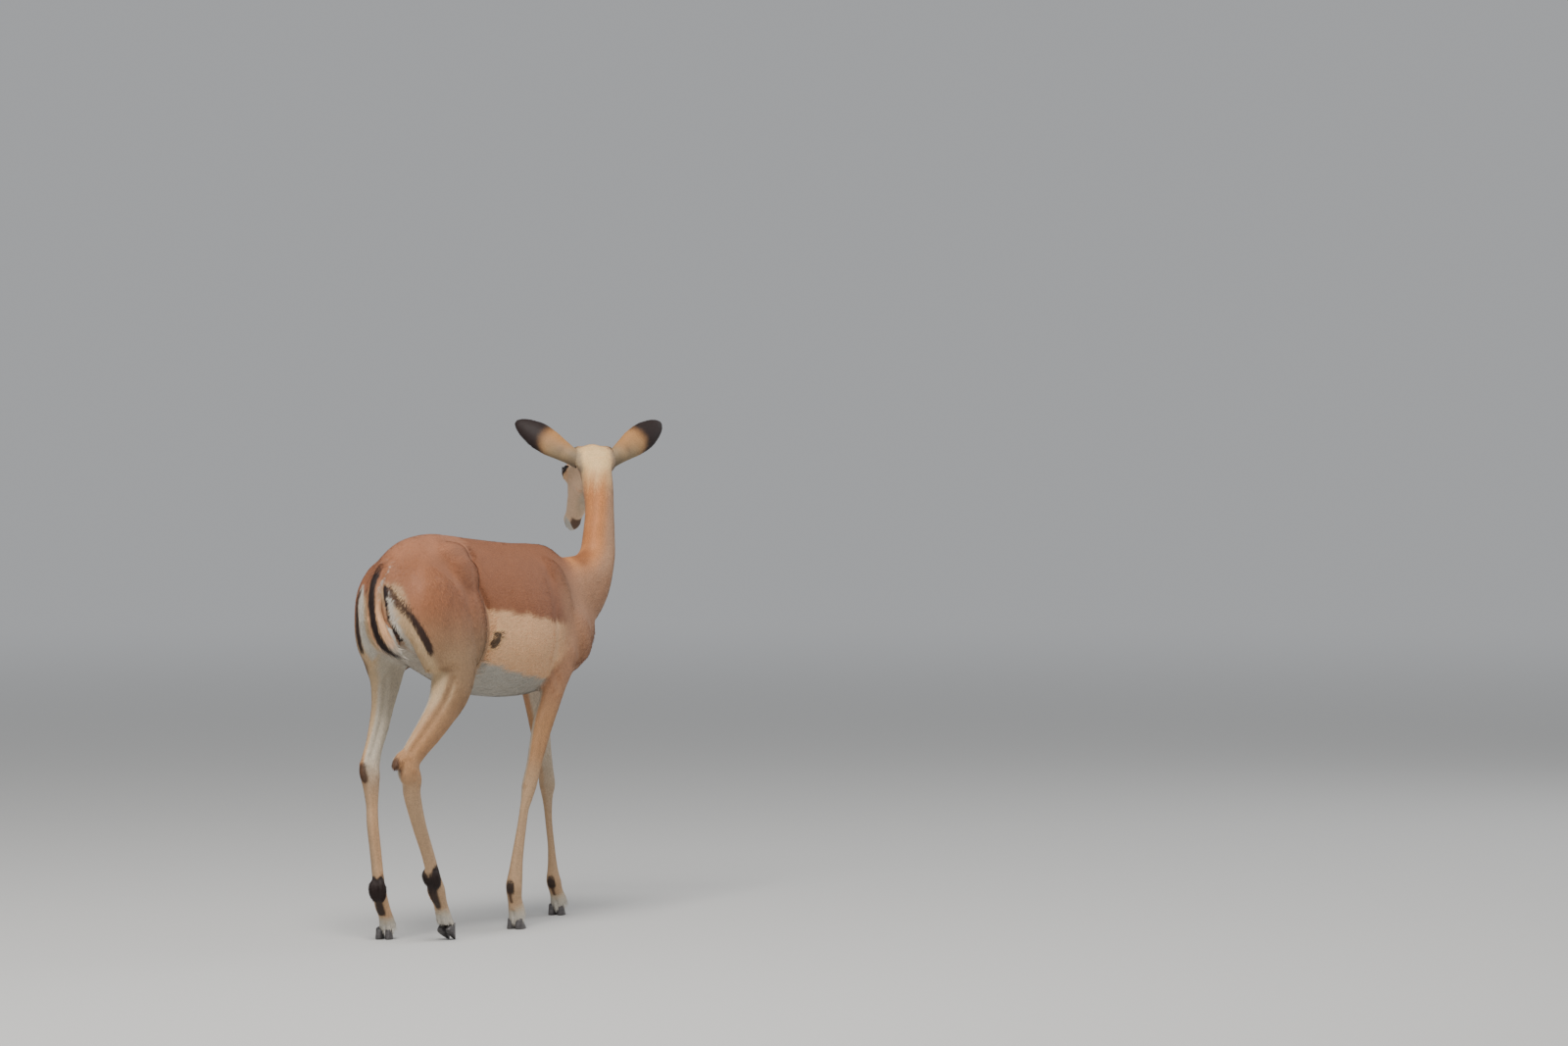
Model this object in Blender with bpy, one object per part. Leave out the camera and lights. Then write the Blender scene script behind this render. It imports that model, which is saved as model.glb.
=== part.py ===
"""An impala ewe, life size, standing in mid-step with her head turned to the left.

Run it with: blender --background --python part.py

The body is lofted from anatomical stations, joined by a voxel remesh, smoothed, thinned, and then
parted into named pieces by thin slabs. Stations are written in the animal's own directions:
forward (towards the head), left and up, in metres. In the file's frame forward is -Y, left is +X
and up is +Z, with the floor at Z = 0.
"""

import math
from typing import NamedTuple

import bmesh
import bpy
from mathutils import Matrix, Vector

# ---------------------------------------------------------------- driving dimensions, metres
PIECE_GAP = 0.0006        # the width of the cut between two pieces of the body
RING_POINTS = 24          # points round a lofted section
SPAN_RINGS = 4            # rings made between two stations
VOXEL = 0.005             # resolution of the join
SMOOTHING_PASSES = 6      # rounds of smoothing after the join
BODY_TRIANGLES = 4750     # triangles left in the joined body

EYE_RADIUS = 0.0165
EYE_CLEARANCE = 0.0004
EYE_PLACE = (0.086, 0.0345, 0.0165)   # ahead, to the side and up, in the head's directions

HEAD_ORIGIN = (0.500, 0.006, 1.017)  # the middle of the back of the skull
HEAD_TURN = math.radians(46)          # to the animal's left
HEAD_DROP = math.radians(40)          # nose below the horizontal

EAR_ROOT = (0.006, 0.034, -0.016)      # ahead, to the side and up, in the head's directions
EAR_SPREADS = {1: math.radians(48), -1: math.radians(52)}    # from straight up to the side, left and right
EAR_STRETCH = {1: 1.02, -1: 1.07}     # length of each ear against its table

CLAW_LENGTH = 0.047
CLAW_WIDTH = 0.0182
CLAW_SPLAY = math.radians(2.5)
CLAW_CLEFT = 0.0026        # between the claws of a foot
CLAW_FRONT = 0.0290        # height of a claw at its toe
CLAW_HEEL = 0.0200         # height of a claw at its heel
CLAW_HEEL_LEAN = 0.006     # how far a claw's heel leans ahead at the coronet
CLAW_SLOPE = math.radians(52)
CLAW_POINTS = 12
TOE_SINK = 0.0022          # how far a lifted hoof's toe is flattened by the floor
COFFIN_BLOCK = 0.09        # size of the block that ends a foot at its coronet
EAR_CLEARANCE = 0.0004
EAR_THICKNESS = 0.0050
EAR_HOLLOW = 0.62          # depth of an ear's hollow against its radius


CENTRE = (0.0204, -0.1095)   # the middle of the finished animal's box, before it is moved there


def place(forward, left, up):
    """A point given in the animal's directions, in the file's frame."""
    return Vector((left, -forward, up))


# ---------------------------------------------------------------- station tables
class TrunkStation(NamedTuple):
    """A section of the trunk across the spine."""

    forward: float
    left: float
    top: float
    bottom: float
    half_width: float
    widest: float


TRUNK = (
    TrunkStation(-0.404, 0.000, 0.736, 0.661, 0.024, 0.699),   # below the tail
    TrunkStation(-0.392, 0.000, 0.779, 0.636, 0.050, 0.703),
    TrunkStation(-0.362, 0.000, 0.817, 0.613, 0.074, 0.707),   # root of the tail
    TrunkStation(-0.300, 0.000, 0.849, 0.588, 0.090, 0.714),
    TrunkStation(-0.215, 0.000, 0.860, 0.555, 0.092, 0.723),   # hip bones
    TrunkStation(-0.140, 0.000, 0.856, 0.528, 0.085, 0.684),   # flank
    TrunkStation(-0.060, 0.000, 0.848, 0.509, 0.102, 0.650),
    TrunkStation(0.040, -0.002, 0.839, 0.498, 0.121, 0.636),   # barrel
    TrunkStation(0.120, -0.006, 0.833, 0.496, 0.115, 0.642),
    TrunkStation(0.190, -0.010, 0.831, 0.501, 0.096, 0.648),   # withers
    TrunkStation(0.250, -0.014, 0.824, 0.513, 0.078, 0.644),
    TrunkStation(0.305, -0.020, 0.794, 0.529, 0.068, 0.639),
    TrunkStation(0.350, -0.025, 0.755, 0.545, 0.056, 0.642),   # breast
    TrunkStation(0.385, -0.028, 0.715, 0.575, 0.040, 0.645),
)


class TubeStation(NamedTuple):
    """A section across a limb, a neck or a tail: its middle, half width, half depth and turn."""

    forward: float
    left: float
    up: float
    half_width: float
    half_depth: float
    outward: float = 0.0


NECK = (
    TubeStation(0.240, -0.014, 0.688, 0.062, 0.112),
    TubeStation(0.320, -0.022, 0.699, 0.058, 0.104),
    TubeStation(0.393, -0.033, 0.735, 0.050, 0.080),
    TubeStation(0.437, -0.037, 0.786, 0.041, 0.052),
    TubeStation(0.455, -0.033, 0.841, 0.036, 0.049),
    TubeStation(0.468, -0.027, 0.896, 0.034, 0.046),
    TubeStation(0.475, -0.019, 0.946, 0.037, 0.044),
    TubeStation(0.481, -0.011, 0.984, 0.037, 0.037),
    TubeStation(0.489, -0.004, 1.008, 0.035, 0.027),
    TubeStation(0.497, 0.002, 1.024, 0.030, 0.017),
)

TAIL = (
    TubeStation(-0.330, 0.000, 0.798, 0.016, 0.012),
    TubeStation(-0.378, 0.004, 0.791, 0.019, 0.014),
    TubeStation(-0.407, 0.0085, 0.753, 0.020, 0.014),
    TubeStation(-0.417, 0.005, 0.706, 0.021, 0.014),
    TubeStation(-0.415, -0.0025, 0.666, 0.023, 0.015),
    TubeStation(-0.404, -0.0125, 0.636, 0.023, 0.015),
    TubeStation(-0.389, -0.0225, 0.619, 0.017, 0.012),
    TubeStation(-0.374, -0.0325, 0.606, 0.007, 0.007),
)

HIND_RIGHT = (
    TubeStation(-0.2940, -0.0440, 0.8000, 0.0160, 0.0300),
    TubeStation(-0.2970, -0.0560, 0.7720, 0.0320, 0.0640),
    TubeStation(-0.2940, -0.0670, 0.7320, 0.0420, 0.0920),
    TubeStation(-0.2780, -0.0720, 0.6720, 0.0430, 0.1080),
    TubeStation(-0.2580, -0.0770, 0.6170, 0.0420, 0.0960),
    TubeStation(-0.2465, -0.0808, 0.5720, 0.0410, 0.0740),   # stifle
    TubeStation(-0.2630, -0.0816, 0.5270, 0.0390, 0.0575),
    TubeStation(-0.2915, -0.0774, 0.4870, 0.0310, 0.0450),
    TubeStation(-0.3270, -0.0732, 0.4530, 0.0262, 0.0395),
    TubeStation(-0.3630, -0.0690, 0.4230, 0.0235, 0.0345),   # gaskin
    TubeStation(-0.3880, -0.0640, 0.3960, 0.0215, 0.0330),
    TubeStation(-0.3960, -0.0640, 0.3730, 0.0215, 0.0320),   # hock
    TubeStation(-0.3829, -0.0639, 0.3510, 0.0207, 0.0280),
    TubeStation(-0.3745, -0.0596, 0.3190, 0.0179, 0.0235),
    TubeStation(-0.3396, -0.0545, 0.2540, 0.0145, 0.0198),   # cannon
    TubeStation(-0.2973, -0.0500, 0.1890, 0.0136, 0.0178),
    TubeStation(-0.2664, -0.0456, 0.1360, 0.0152, 0.0190),
    TubeStation(-0.2520, -0.0428, 0.1100, 0.0194, 0.0216),   # fetlock
    TubeStation(-0.2325, -0.0401, 0.0830, 0.0160, 0.0170),
    TubeStation(-0.2210, -0.0386, 0.0630, 0.0170, 0.0165),
    TubeStation(-0.2100, -0.0376, 0.0440, 0.0184, 0.0174),
    TubeStation(-0.2000, -0.0376, 0.0260, 0.0184, 0.0174),
)

HIND_LEFT = (
    TubeStation(-0.2900, 0.0420, 0.8010, 0.0160, 0.0300),
    TubeStation(-0.2950, 0.0540, 0.7730, 0.0320, 0.0620),
    TubeStation(-0.2920, 0.0640, 0.7330, 0.0410, 0.0900),
    TubeStation(-0.2760, 0.0690, 0.6730, 0.0420, 0.1060),
    TubeStation(-0.2604, 0.0744, 0.6180, 0.0396, 0.0910),
    TubeStation(-0.2572, 0.0781, 0.5730, 0.0349, 0.0640),   # stifle
    TubeStation(-0.2642, 0.0763, 0.5340, 0.0295, 0.0442),
    TubeStation(-0.2771, 0.0747, 0.4930, 0.0251, 0.0331),
    TubeStation(-0.2948, 0.0725, 0.4530, 0.0231, 0.0288),   # gaskin
    TubeStation(-0.3169, 0.0709, 0.4120, 0.0205, 0.0267),
    TubeStation(-0.3345, 0.0691, 0.3770, 0.0205, 0.0300),
    TubeStation(-0.3358, 0.0671, 0.3520, 0.0198, 0.0275),   # hock
    TubeStation(-0.3313, 0.0678, 0.3270, 0.0171, 0.0225),
    TubeStation(-0.3257, 0.0698, 0.2900, 0.0139, 0.0176, 6),
    TubeStation(-0.3212, 0.0711, 0.2490, 0.0138, 0.0177, 10),
    TubeStation(-0.3060, 0.0740, 0.1940, 0.0136, 0.0172, 14),   # cannon
    TubeStation(-0.2892, 0.0765, 0.1270, 0.0138, 0.0166, 18),
    TubeStation(-0.2749, 0.0789, 0.0820, 0.0165, 0.0189, 18),   # fetlock
    TubeStation(-0.2582, 0.0801, 0.0550, 0.0161, 0.0161, 18),
    TubeStation(-0.2493, 0.0812, 0.0400, 0.0179, 0.0174, 18),
    TubeStation(-0.2433, 0.0822, 0.0260, 0.0190, 0.0185, 18),
    TubeStation(-0.2403, 0.0822, 0.0120, 0.0190, 0.0185, 18),
)

FORE_RIGHT = (
    TubeStation(0.2450, -0.0660, 0.6580, 0.0260, 0.0660),
    TubeStation(0.2150, -0.0760, 0.5980, 0.0310, 0.0640),
    TubeStation(0.1854, -0.0802, 0.5420, 0.0260, 0.0440),   # elbow
    TubeStation(0.1630, -0.0772, 0.4870, 0.0235, 0.0335),
    TubeStation(0.1424, -0.0729, 0.4420, 0.0229, 0.0305),
    TubeStation(0.1258, -0.0693, 0.3920, 0.0198, 0.0255),
    TubeStation(0.1148, -0.0646, 0.3470, 0.0170, 0.0208),
    TubeStation(0.1064, -0.0592, 0.3090, 0.0167, 0.0194),   # knee
    TubeStation(0.0973, -0.0579, 0.2810, 0.0135, 0.0157),
    TubeStation(0.0884, -0.0569, 0.2580, 0.0109, 0.0136),
    TubeStation(0.0812, -0.0555, 0.2250, 0.0110, 0.0135),   # cannon
    TubeStation(0.0714, -0.0541, 0.1840, 0.0121, 0.0152),
    TubeStation(0.0648, -0.0522, 0.1480, 0.0137, 0.0175),
    TubeStation(0.0605, -0.0511, 0.1180, 0.0158, 0.0202),
    TubeStation(0.0580, -0.0494, 0.0940, 0.0181, 0.0214),   # fetlock
    TubeStation(0.0648, -0.0474, 0.0630, 0.0165, 0.0177),
    TubeStation(0.0726, -0.0468, 0.0420, 0.0195, 0.0190),
    TubeStation(0.0780, -0.0453, 0.0260, 0.0195, 0.0190),
    TubeStation(0.0798, -0.0449, 0.0120, 0.0195, 0.0190),
)

FORE_LEFT = (
    TubeStation(0.2900, 0.0500, 0.6550, 0.0260, 0.0600),
    TubeStation(0.3050, 0.0560, 0.5950, 0.0300, 0.0580),
    TubeStation(0.3150, 0.0560, 0.5400, 0.0295, 0.0500),   # elbow
    TubeStation(0.3250, 0.0520, 0.4850, 0.0270, 0.0400),
    TubeStation(0.3310, 0.0480, 0.4300, 0.0235, 0.0320),
    TubeStation(0.3400, 0.0450, 0.3750, 0.0195, 0.0265),
    TubeStation(0.3470, 0.0420, 0.3320, 0.0175, 0.0215),
    TubeStation(0.3521, 0.0400, 0.2920, 0.0180, 0.0210),   # knee
    TubeStation(0.3508, 0.0390, 0.2670, 0.0137, 0.0160, 4),
    TubeStation(0.3516, 0.0381, 0.2400, 0.0103, 0.0140, 8),
    TubeStation(0.3559, 0.0380, 0.2020, 0.0088, 0.0130, 10),   # cannon
    TubeStation(0.3626, 0.0368, 0.1580, 0.0091, 0.0132, 12),
    TubeStation(0.3657, 0.0361, 0.1250, 0.0108, 0.0150, 12),
    TubeStation(0.3679, 0.0353, 0.0980, 0.0136, 0.0175, 12),
    TubeStation(0.3703, 0.0345, 0.0780, 0.0170, 0.0196, 12),   # fetlock
    TubeStation(0.3822, 0.0345, 0.0520, 0.0162, 0.0167, 12),
    TubeStation(0.3892, 0.0345, 0.0400, 0.0190, 0.0185, 12),
    TubeStation(0.3952, 0.0345, 0.0260, 0.0190, 0.0185, 12),
    TubeStation(0.3982, 0.0345, 0.0120, 0.0190, 0.0185, 12),
)


class HeadStation(NamedTuple):
    """A section of the head across its long axis, measured from the back of the skull."""

    ahead: float
    half_width: float
    top: float
    bottom: float


HEAD = (
    HeadStation(-0.018, 0.022, 0.016, -0.030),
    HeadStation(0.000, 0.035, 0.032, -0.046),
    HeadStation(0.028, 0.041, 0.040, -0.058),
    HeadStation(0.058, 0.043, 0.042, -0.060),
    HeadStation(0.086, 0.041, 0.040, -0.054),    # eyes
    HeadStation(0.115, 0.034, 0.034, -0.046),
    HeadStation(0.144, 0.0275, 0.027, -0.040),
    HeadStation(0.173, 0.0230, 0.022, -0.035),
    HeadStation(0.202, 0.0185, 0.018, -0.031),
    HeadStation(0.226, 0.0175, 0.015, -0.028),   # nostrils
    HeadStation(0.244, 0.0155, 0.010, -0.024),
    HeadStation(0.254, 0.0090, 0.001, -0.016),
)


class EarStation(NamedTuple):
    """A section across an ear: a strip of its skin bent round the ear's line."""

    along: float
    radius: float
    half_wrap: float


EAR = (
    EarStation(0.000, 0.0165, 150),
    EarStation(0.025, 0.0190, 132),
    EarStation(0.050, 0.0235, 105),
    EarStation(0.080, 0.0290, 84),
    EarStation(0.110, 0.0305, 70),
    EarStation(0.136, 0.0240, 62),
    EarStation(0.155, 0.0155, 54),
    EarStation(0.165, 0.0080, 48),
)
EAR_ARC_POINTS = 8


class Muscle(NamedTuple):
    """An ellipsoid laid into the body: middle, half sizes and how far its top leans back."""

    forward: float
    left: float
    up: float
    half_length: float
    half_width: float
    half_height: float
    lean: float


HIND_MUSCLES = (
    Muscle(-0.205, 0.050, 0.803, 0.072, 0.028, 0.042, 0),       # hip bone
    Muscle(-0.332, 0.046, 0.702, 0.060, 0.050, 0.078, 8),       # buttock
    Muscle(-0.190, 0.080, 0.658, 0.080, 0.027, 0.098, 0),       # front of the thigh
    Muscle(-0.200, 0.070, 0.755, 0.070, 0.028, 0.060, 0),       # upper thigh
)
FORE_MUSCLES = (
    Muscle(0.207, 0.056, 0.688, 0.064, 0.032, 0.118, -20),      # shoulder blade
    Muscle(0.283, 0.059, 0.628, 0.054, 0.035, 0.072, -28),      # point of the shoulder
    Muscle(0.185, 0.070, 0.593, 0.058, 0.026, 0.060, 20),       # triceps
)
HEEL_BONES = (
    Muscle(-0.3545, 0.068, 0.3690, 0.0165, 0.0135, 0.030, 10),      # of the left hock
    Muscle(-0.4240, -0.060, 0.3960, 0.0145, 0.0135, 0.033, 55),     # of the right hock
)
HAIR_TUFTS = (
    Muscle(-0.300, 0.074, 0.110, 0.016, 0.0225, 0.030, 8),      # on the left hind cannon
    Muscle(-0.280, -0.046, 0.139, 0.016, 0.0225, 0.029, 30),    # on the right hind cannon
)
FORE_SHIFT = -0.012    # the forequarters stand this far to the right of the mid plane


class Claw(NamedTuple):
    """Half a hoof's place: its heel, the direction of its toe and its pitch."""

    name: str
    forward: float
    left: float
    outward: float
    pitch: float


CLAW_PAIRS = (
    Claw("hoof_fore_left", 0.374, 0.034, 12, 0),
    Claw("hoof_fore_right", 0.057, -0.0455, 0, 0),
    Claw("hoof_hind_left", -0.266, 0.081, 18, 0),
    Claw("hoof_hind_right", -0.225, -0.0376, 0, 32),
)


# ---------------------------------------------------------------- shape tools
def smooth_between(rows, steps):
    """Rows of numbers with steps rows between neighbours, on a Catmull-Rom curve."""
    padded = [rows[0], *rows, rows[-1]]
    found = []
    for i in range(1, len(padded) - 2):
        before, start, end, after = padded[i - 1:i + 3]
        for step in range(steps):
            t = step / steps
            found.append([
                0.5 * (2 * b + (c - a) * t + (2 * a - 5 * b + 4 * c - d) * t * t
                       + (3 * b - a - 3 * c + d) * t * t * t)
                for a, b, c, d in zip(before, start, end, after)
            ])
    found.append(list(rows[-1]))
    return found


def add_ring(bm, points):
    """A closed ring of vertices at these points, and its edges."""
    circle = bmesh.ops.create_circle(bm, cap_ends=False, radius=1.0, segments=len(points))
    ring = circle["verts"]
    for vertex, point in zip(ring, points):
        vertex.co = point
    return ring, list({edge for vertex in ring for edge in vertex.link_edges})


def add_loft(bm, sections):
    """A closed body through sections, which are lists of as many points each."""
    rings = [add_ring(bm, section) for section in sections]
    edges = [ring_edges for _, ring_edges in rings]
    for before, after in zip(edges, edges[1:]):
        bmesh.ops.bridge_loops(bm, edges=before + after)
    for ring, _ in (rings[0], rings[-1]):
        bmesh.ops.contextual_create(bm, geom=ring)


def rounded_outline(count, squareness=2.0):
    """Points (x, y) of a unit superellipse, count of them."""
    power = 2.0 / squareness
    found = []
    for i in range(count):
        angle = 2 * math.pi * i / count
        c, s = math.cos(angle), math.sin(angle)
        found.append((math.copysign(abs(c) ** power, c), math.copysign(abs(s) ** power, s)))
    return found


def trunk_sections():
    """The trunk's rings, each in a plane across the animal."""
    outline = rounded_outline(RING_POINTS, 2.15)
    found = []
    for forward, left, top, bottom, half_width, widest in smooth_between(TRUNK, SPAN_RINGS):
        ring = []
        for x, y in outline:
            height = top - widest if y > 0 else widest - bottom
            taper = 1.0 - 0.22 * max(y, 0.0) ** 2 - 0.10 * max(-y, 0.0) ** 2
            ring.append(place(forward, left + x * half_width * taper, widest + y * height))
        found.append(ring)
    return found


def tube_sections(stations, hand=1.0, sideways=None, steps=SPAN_RINGS, count=RING_POINTS):
    """Rings across the path through tube stations, turned outward on their own side."""
    rows = smooth_between([tuple(station) for station in stations], steps)
    centres = [place(*row[:3]) for row in rows]
    outline = rounded_outline(count, 2.0)
    found = []
    for i, row in enumerate(rows):
        along = (centres[min(i + 1, len(rows) - 1)] - centres[max(i - 1, 0)]).normalized()
        turn = math.radians(row[5]) * hand
        side = place(-math.sin(turn), math.cos(turn), 0)
        if sideways:
            side = sideways(i / (len(rows) - 1))
        side = (side - side.dot(along) * along).normalized()
        across = along.cross(side)
        found.append([centres[i] + side * x * row[3] + across * y * row[4] for x, y in outline])
    return found


def head_axes():
    """The head's directions: ahead to the nose, left, and up across the face."""
    level = place(math.cos(HEAD_TURN), math.sin(HEAD_TURN), 0)
    ahead = level * math.cos(HEAD_DROP) - place(0, 0, 1) * math.sin(HEAD_DROP)
    left = place(-math.sin(HEAD_TURN), math.cos(HEAD_TURN), 0)
    return ahead, left, ahead.cross(left)


def on_head(ahead, left, up):
    """A point given in the head's directions."""
    axis, side, top = head_axes()
    return place(*HEAD_ORIGIN) + axis * ahead + side * left + top * up


def head_sections():
    """The rings of the head."""
    outline = rounded_outline(RING_POINTS, 2.2)
    found = []
    for ahead, half_width, top, bottom in smooth_between(HEAD, SPAN_RINGS):
        ring = []
        for x, y in outline:
            height = top if y > 0 else -bottom
            taper = 1.0 - 0.25 * max(y, 0.0) ** 2 - 0.28 * max(-y, 0.0) ** 2
            ring.append(on_head(ahead, x * half_width * taper, y * height))
        found.append(ring)
    return found


def add_ellipsoid(bm, centre, half_sizes, turn, segments=20):
    """An ellipsoid with these half sizes along the axes of turn."""
    scale = Matrix.Diagonal((*half_sizes, 1.0))
    bmesh.ops.create_uvsphere(
        bm, u_segments=segments, v_segments=segments // 2, radius=1.0,
        matrix=Matrix.Translation(centre) @ turn.to_4x4() @ scale,
    )


# ---------------------------------------------------------------- the body in one piece
def neck_side(share):
    """The neck's sideways direction, which turns with the head along its upper half."""
    turn = HEAD_TURN * max(0.0, share - 0.35) / 0.65 * 0.85
    return place(-math.sin(turn), math.cos(turn), 0)


def add_head_forms(bm):
    """Cheeks, brows, the wings of the nose, the chin and the roots of the ears."""
    axis, side, top = head_axes()
    turn = Matrix((axis, side, top)).transposed()
    for hand in (-1, 1):
        for ahead, left, up, sizes in (
            (0.056, 0.027, -0.024, (0.042, 0.016, 0.034)),      # cheek
            (0.086, 0.034, 0.015, (0.028, 0.0170, 0.024)),      # rim of the eye
            (0.002, 0.034, -0.010, (0.021, 0.020, 0.036)),      # root of the ear
            (0.227, 0.0085, 0.002, (0.022, 0.0115, 0.012)),      # wing of the nose
        ):
            add_ellipsoid(bm, on_head(ahead, left * hand, up), sizes, turn)
    add_ellipsoid(bm, on_head(0.214, 0.0, -0.023), (0.026, 0.014, 0.011), turn)   # chin


def add_muscles(bm, muscles, shift):
    """Each muscle on both sides of the body."""
    for muscle in muscles:
        turn = Matrix.Rotation(math.radians(muscle.lean), 3, "X")
        for hand in (-1, 1):
            add_ellipsoid(
                bm, place(muscle.forward, muscle.left * hand + shift, muscle.up),
                (muscle.half_width, muscle.half_length, muscle.half_height), turn,
            )


def add_body(bm):
    """Every loft and muscle of the body but the tail, overlapping."""
    add_loft(bm, trunk_sections())
    add_loft(bm, tube_sections(NECK, sideways=neck_side))
    add_loft(bm, head_sections())
    for limb, hand in ((HIND_RIGHT, -1), (HIND_LEFT, 1), (FORE_RIGHT, -1), (FORE_LEFT, 1)):
        add_loft(bm, tube_sections(limb, hand))
    add_muscles(bm, HIND_MUSCLES, 0.0)
    add_muscles(bm, FORE_MUSCLES, FORE_SHIFT)
    for bone in HEEL_BONES:
        add_ellipsoid(
            bm, place(bone.forward, bone.left, bone.up),
            (bone.half_width, bone.half_length, bone.half_height),
            Matrix.Rotation(math.radians(bone.lean), 3, "X"),
        )
    for tuft in HAIR_TUFTS:
        add_ellipsoid(
            bm, place(tuft.forward, tuft.left, tuft.up),
            (tuft.half_width, tuft.half_length, tuft.half_height),
            Matrix.Rotation(math.radians(-tuft.lean), 3, "X"),
        )
    add_head_forms(bm)


def ear_axes(hand):
    """An ear's directions: along to its tip, and the way its open side faces."""
    axis, side, top = head_axes()
    spread = EAR_SPREADS[hand]
    along = top * math.cos(spread) + side * hand * math.sin(spread)
    facing = (axis + top) * 0.66 + side * hand * 0.35
    facing = (facing - facing.dot(along) * along).normalized()
    return along, facing


def add_ear_skin(bm, hand):
    """One ear's middle surface: a grid rolled round the ear's line."""
    along, facing = ear_axes(hand)
    across = along.cross(facing)
    root = on_head(EAR_ROOT[0], EAR_ROOT[1] * hand, EAR_ROOT[2])
    rows = smooth_between([tuple(station) for station in EAR], 1)
    segments = EAR_ARC_POINTS - 1
    grid = bmesh.ops.create_grid(bm, x_segments=segments, y_segments=len(rows) - 1, size=1.0)
    for vertex in grid["verts"]:
        share, row = vertex.co.x, round((vertex.co.y + 1.0) / 2.0 * (len(rows) - 1))
        reach, radius, half_wrap = rows[row]
        angle = math.radians(half_wrap) * share
        depth = EAR_HOLLOW + (1.0 - EAR_HOLLOW) * max(0.0, half_wrap - 100.0) / 50.0
        vertex.co = (root + along * reach * EAR_STRETCH[hand] + across * math.sin(angle) * radius
                     - facing * math.cos(angle) * radius * depth)


def claw_frame(claw):
    """The matrix that stands a foot's claws in place, turned outward and pitched on their toes."""
    turn = math.radians(claw.outward) * (1 if claw.left > 0 else -1)
    stand = Matrix.Translation(place(claw.forward, claw.left, 0.0)) @ Matrix.Rotation(turn, 4, "Z")
    if not claw.pitch:
        return stand
    tip = Vector((0.0, -CLAW_LENGTH, 0.0))
    tilt = Matrix.Rotation(math.radians(claw.pitch), 4, "X")
    sunk = Matrix.Translation(tip - Vector((0.0, 0.0, TOE_SINK)))
    return stand @ sunk @ tilt @ Matrix.Translation(-tip)


def coronet_ends(share=1.0):
    """How far the heel and the toe of a claw's section lie ahead of its heel on the floor."""
    return share * CLAW_HEEL_LEAN, CLAW_LENGTH - share * CLAW_FRONT / math.tan(CLAW_SLOPE)


def add_claw(bm, claw, half):
    """One claw of a hoof: a pointed sole, rising and leaning back to the coronet."""
    splayed = claw_frame(claw) @ Matrix.Rotation(CLAW_SPLAY * half, 4, "Z")
    rings = []
    for share in (0.0, 0.2, 0.6, 1.0):
        ring = []
        heel, toe = coronet_ends(share)
        for x, y in rounded_outline(CLAW_POINTS, 2.3):
            ahead = 0.5 + 0.5 * x
            width = CLAW_WIDTH * (1.0 - 0.62 * ahead ** 2.2) * (1.0 - 0.10 * share)
            side = half * CLAW_CLEFT / 2 + width * (half + y) / 2
            height = share * (CLAW_HEEL + (CLAW_FRONT - CLAW_HEEL) * ahead)
            point = Vector((side, -(heel + (toe - heel) * ahead), height))
            ring.append(splayed @ point)
        rings.append(ring)
    add_loft(bm, rings)
    if claw.pitch:
        level = bmesh.ops.bisect_plane(
            bm, geom=bm.verts[:] + bm.edges[:] + bm.faces[:], plane_co=(0, 0, 0),
            plane_no=(0, 0, -1), clear_outer=True,
        )
        edges = [item for item in level["geom_cut"] if isinstance(item, bmesh.types.BMEdge)]
        bmesh.ops.contextual_create(bm, geom=edges)


# ---------------------------------------------------------------- where the body is parted
class Cut(NamedTuple):
    """A thin slab that parts the body: its middle, the way it faces, its half length and width."""

    forward: float
    left: float
    up: float
    facing: tuple
    half_length: float
    half_width: float


CUTS = (
    Cut(0.405, -0.033, 0.765, (0.52, 0.0, 0.85), 0.115, 0.090),       # trunk and neck
    Cut(0.489, -0.004, 0.980, (0.66, 0.68, 0.20), 0.085, 0.085),      # neck and head
    Cut(-0.262, -0.082, 0.528, (0.10, 0.0, -1.0), 0.110, 0.068),      # thigh and gaskin, right
    Cut(-0.394, -0.0625, 0.362, (0.10, 0.0, -1.0), 0.050, 0.040),     # hock, right
    Cut(-0.259, -0.043, 0.122, (0.45, 0.0, -1.0), 0.034, 0.034),      # fetlock, right
    Cut(-0.250, 0.0755, 0.529, (0.0, 0.0, -1.0), 0.112, 0.068),       # thigh and gaskin, left
    Cut(-0.338, 0.0695, 0.340, (0.0, 0.0, -1.0), 0.050, 0.040),       # hock, left
    Cut(-0.280, 0.078, 0.095, (0.25, 0.0, -1.0), 0.034, 0.034),       # fetlock, left
    Cut(0.166, -0.078, 0.487, (0.0, 0.0, -1.0), 0.070, 0.060),        # elbow, right
    Cut(0.106, -0.0595, 0.297, (0.0, 0.0, -1.0), 0.036, 0.036),       # knee, right
    Cut(0.060, -0.05, 0.107, (0.0, 0.0, -1.0), 0.034, 0.032),        # fetlock, right
    Cut(0.324, 0.053, 0.490, (0.0, 0.0, -1.0), 0.070, 0.050),         # elbow, left
    Cut(0.352, 0.0395, 0.280, (0.0, 0.0, -1.0), 0.036, 0.036),        # knee, left
    Cut(0.371, 0.0345, 0.088, (0.0, 0.0, -1.0), 0.034, 0.032),        # fetlock, left
)

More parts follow.
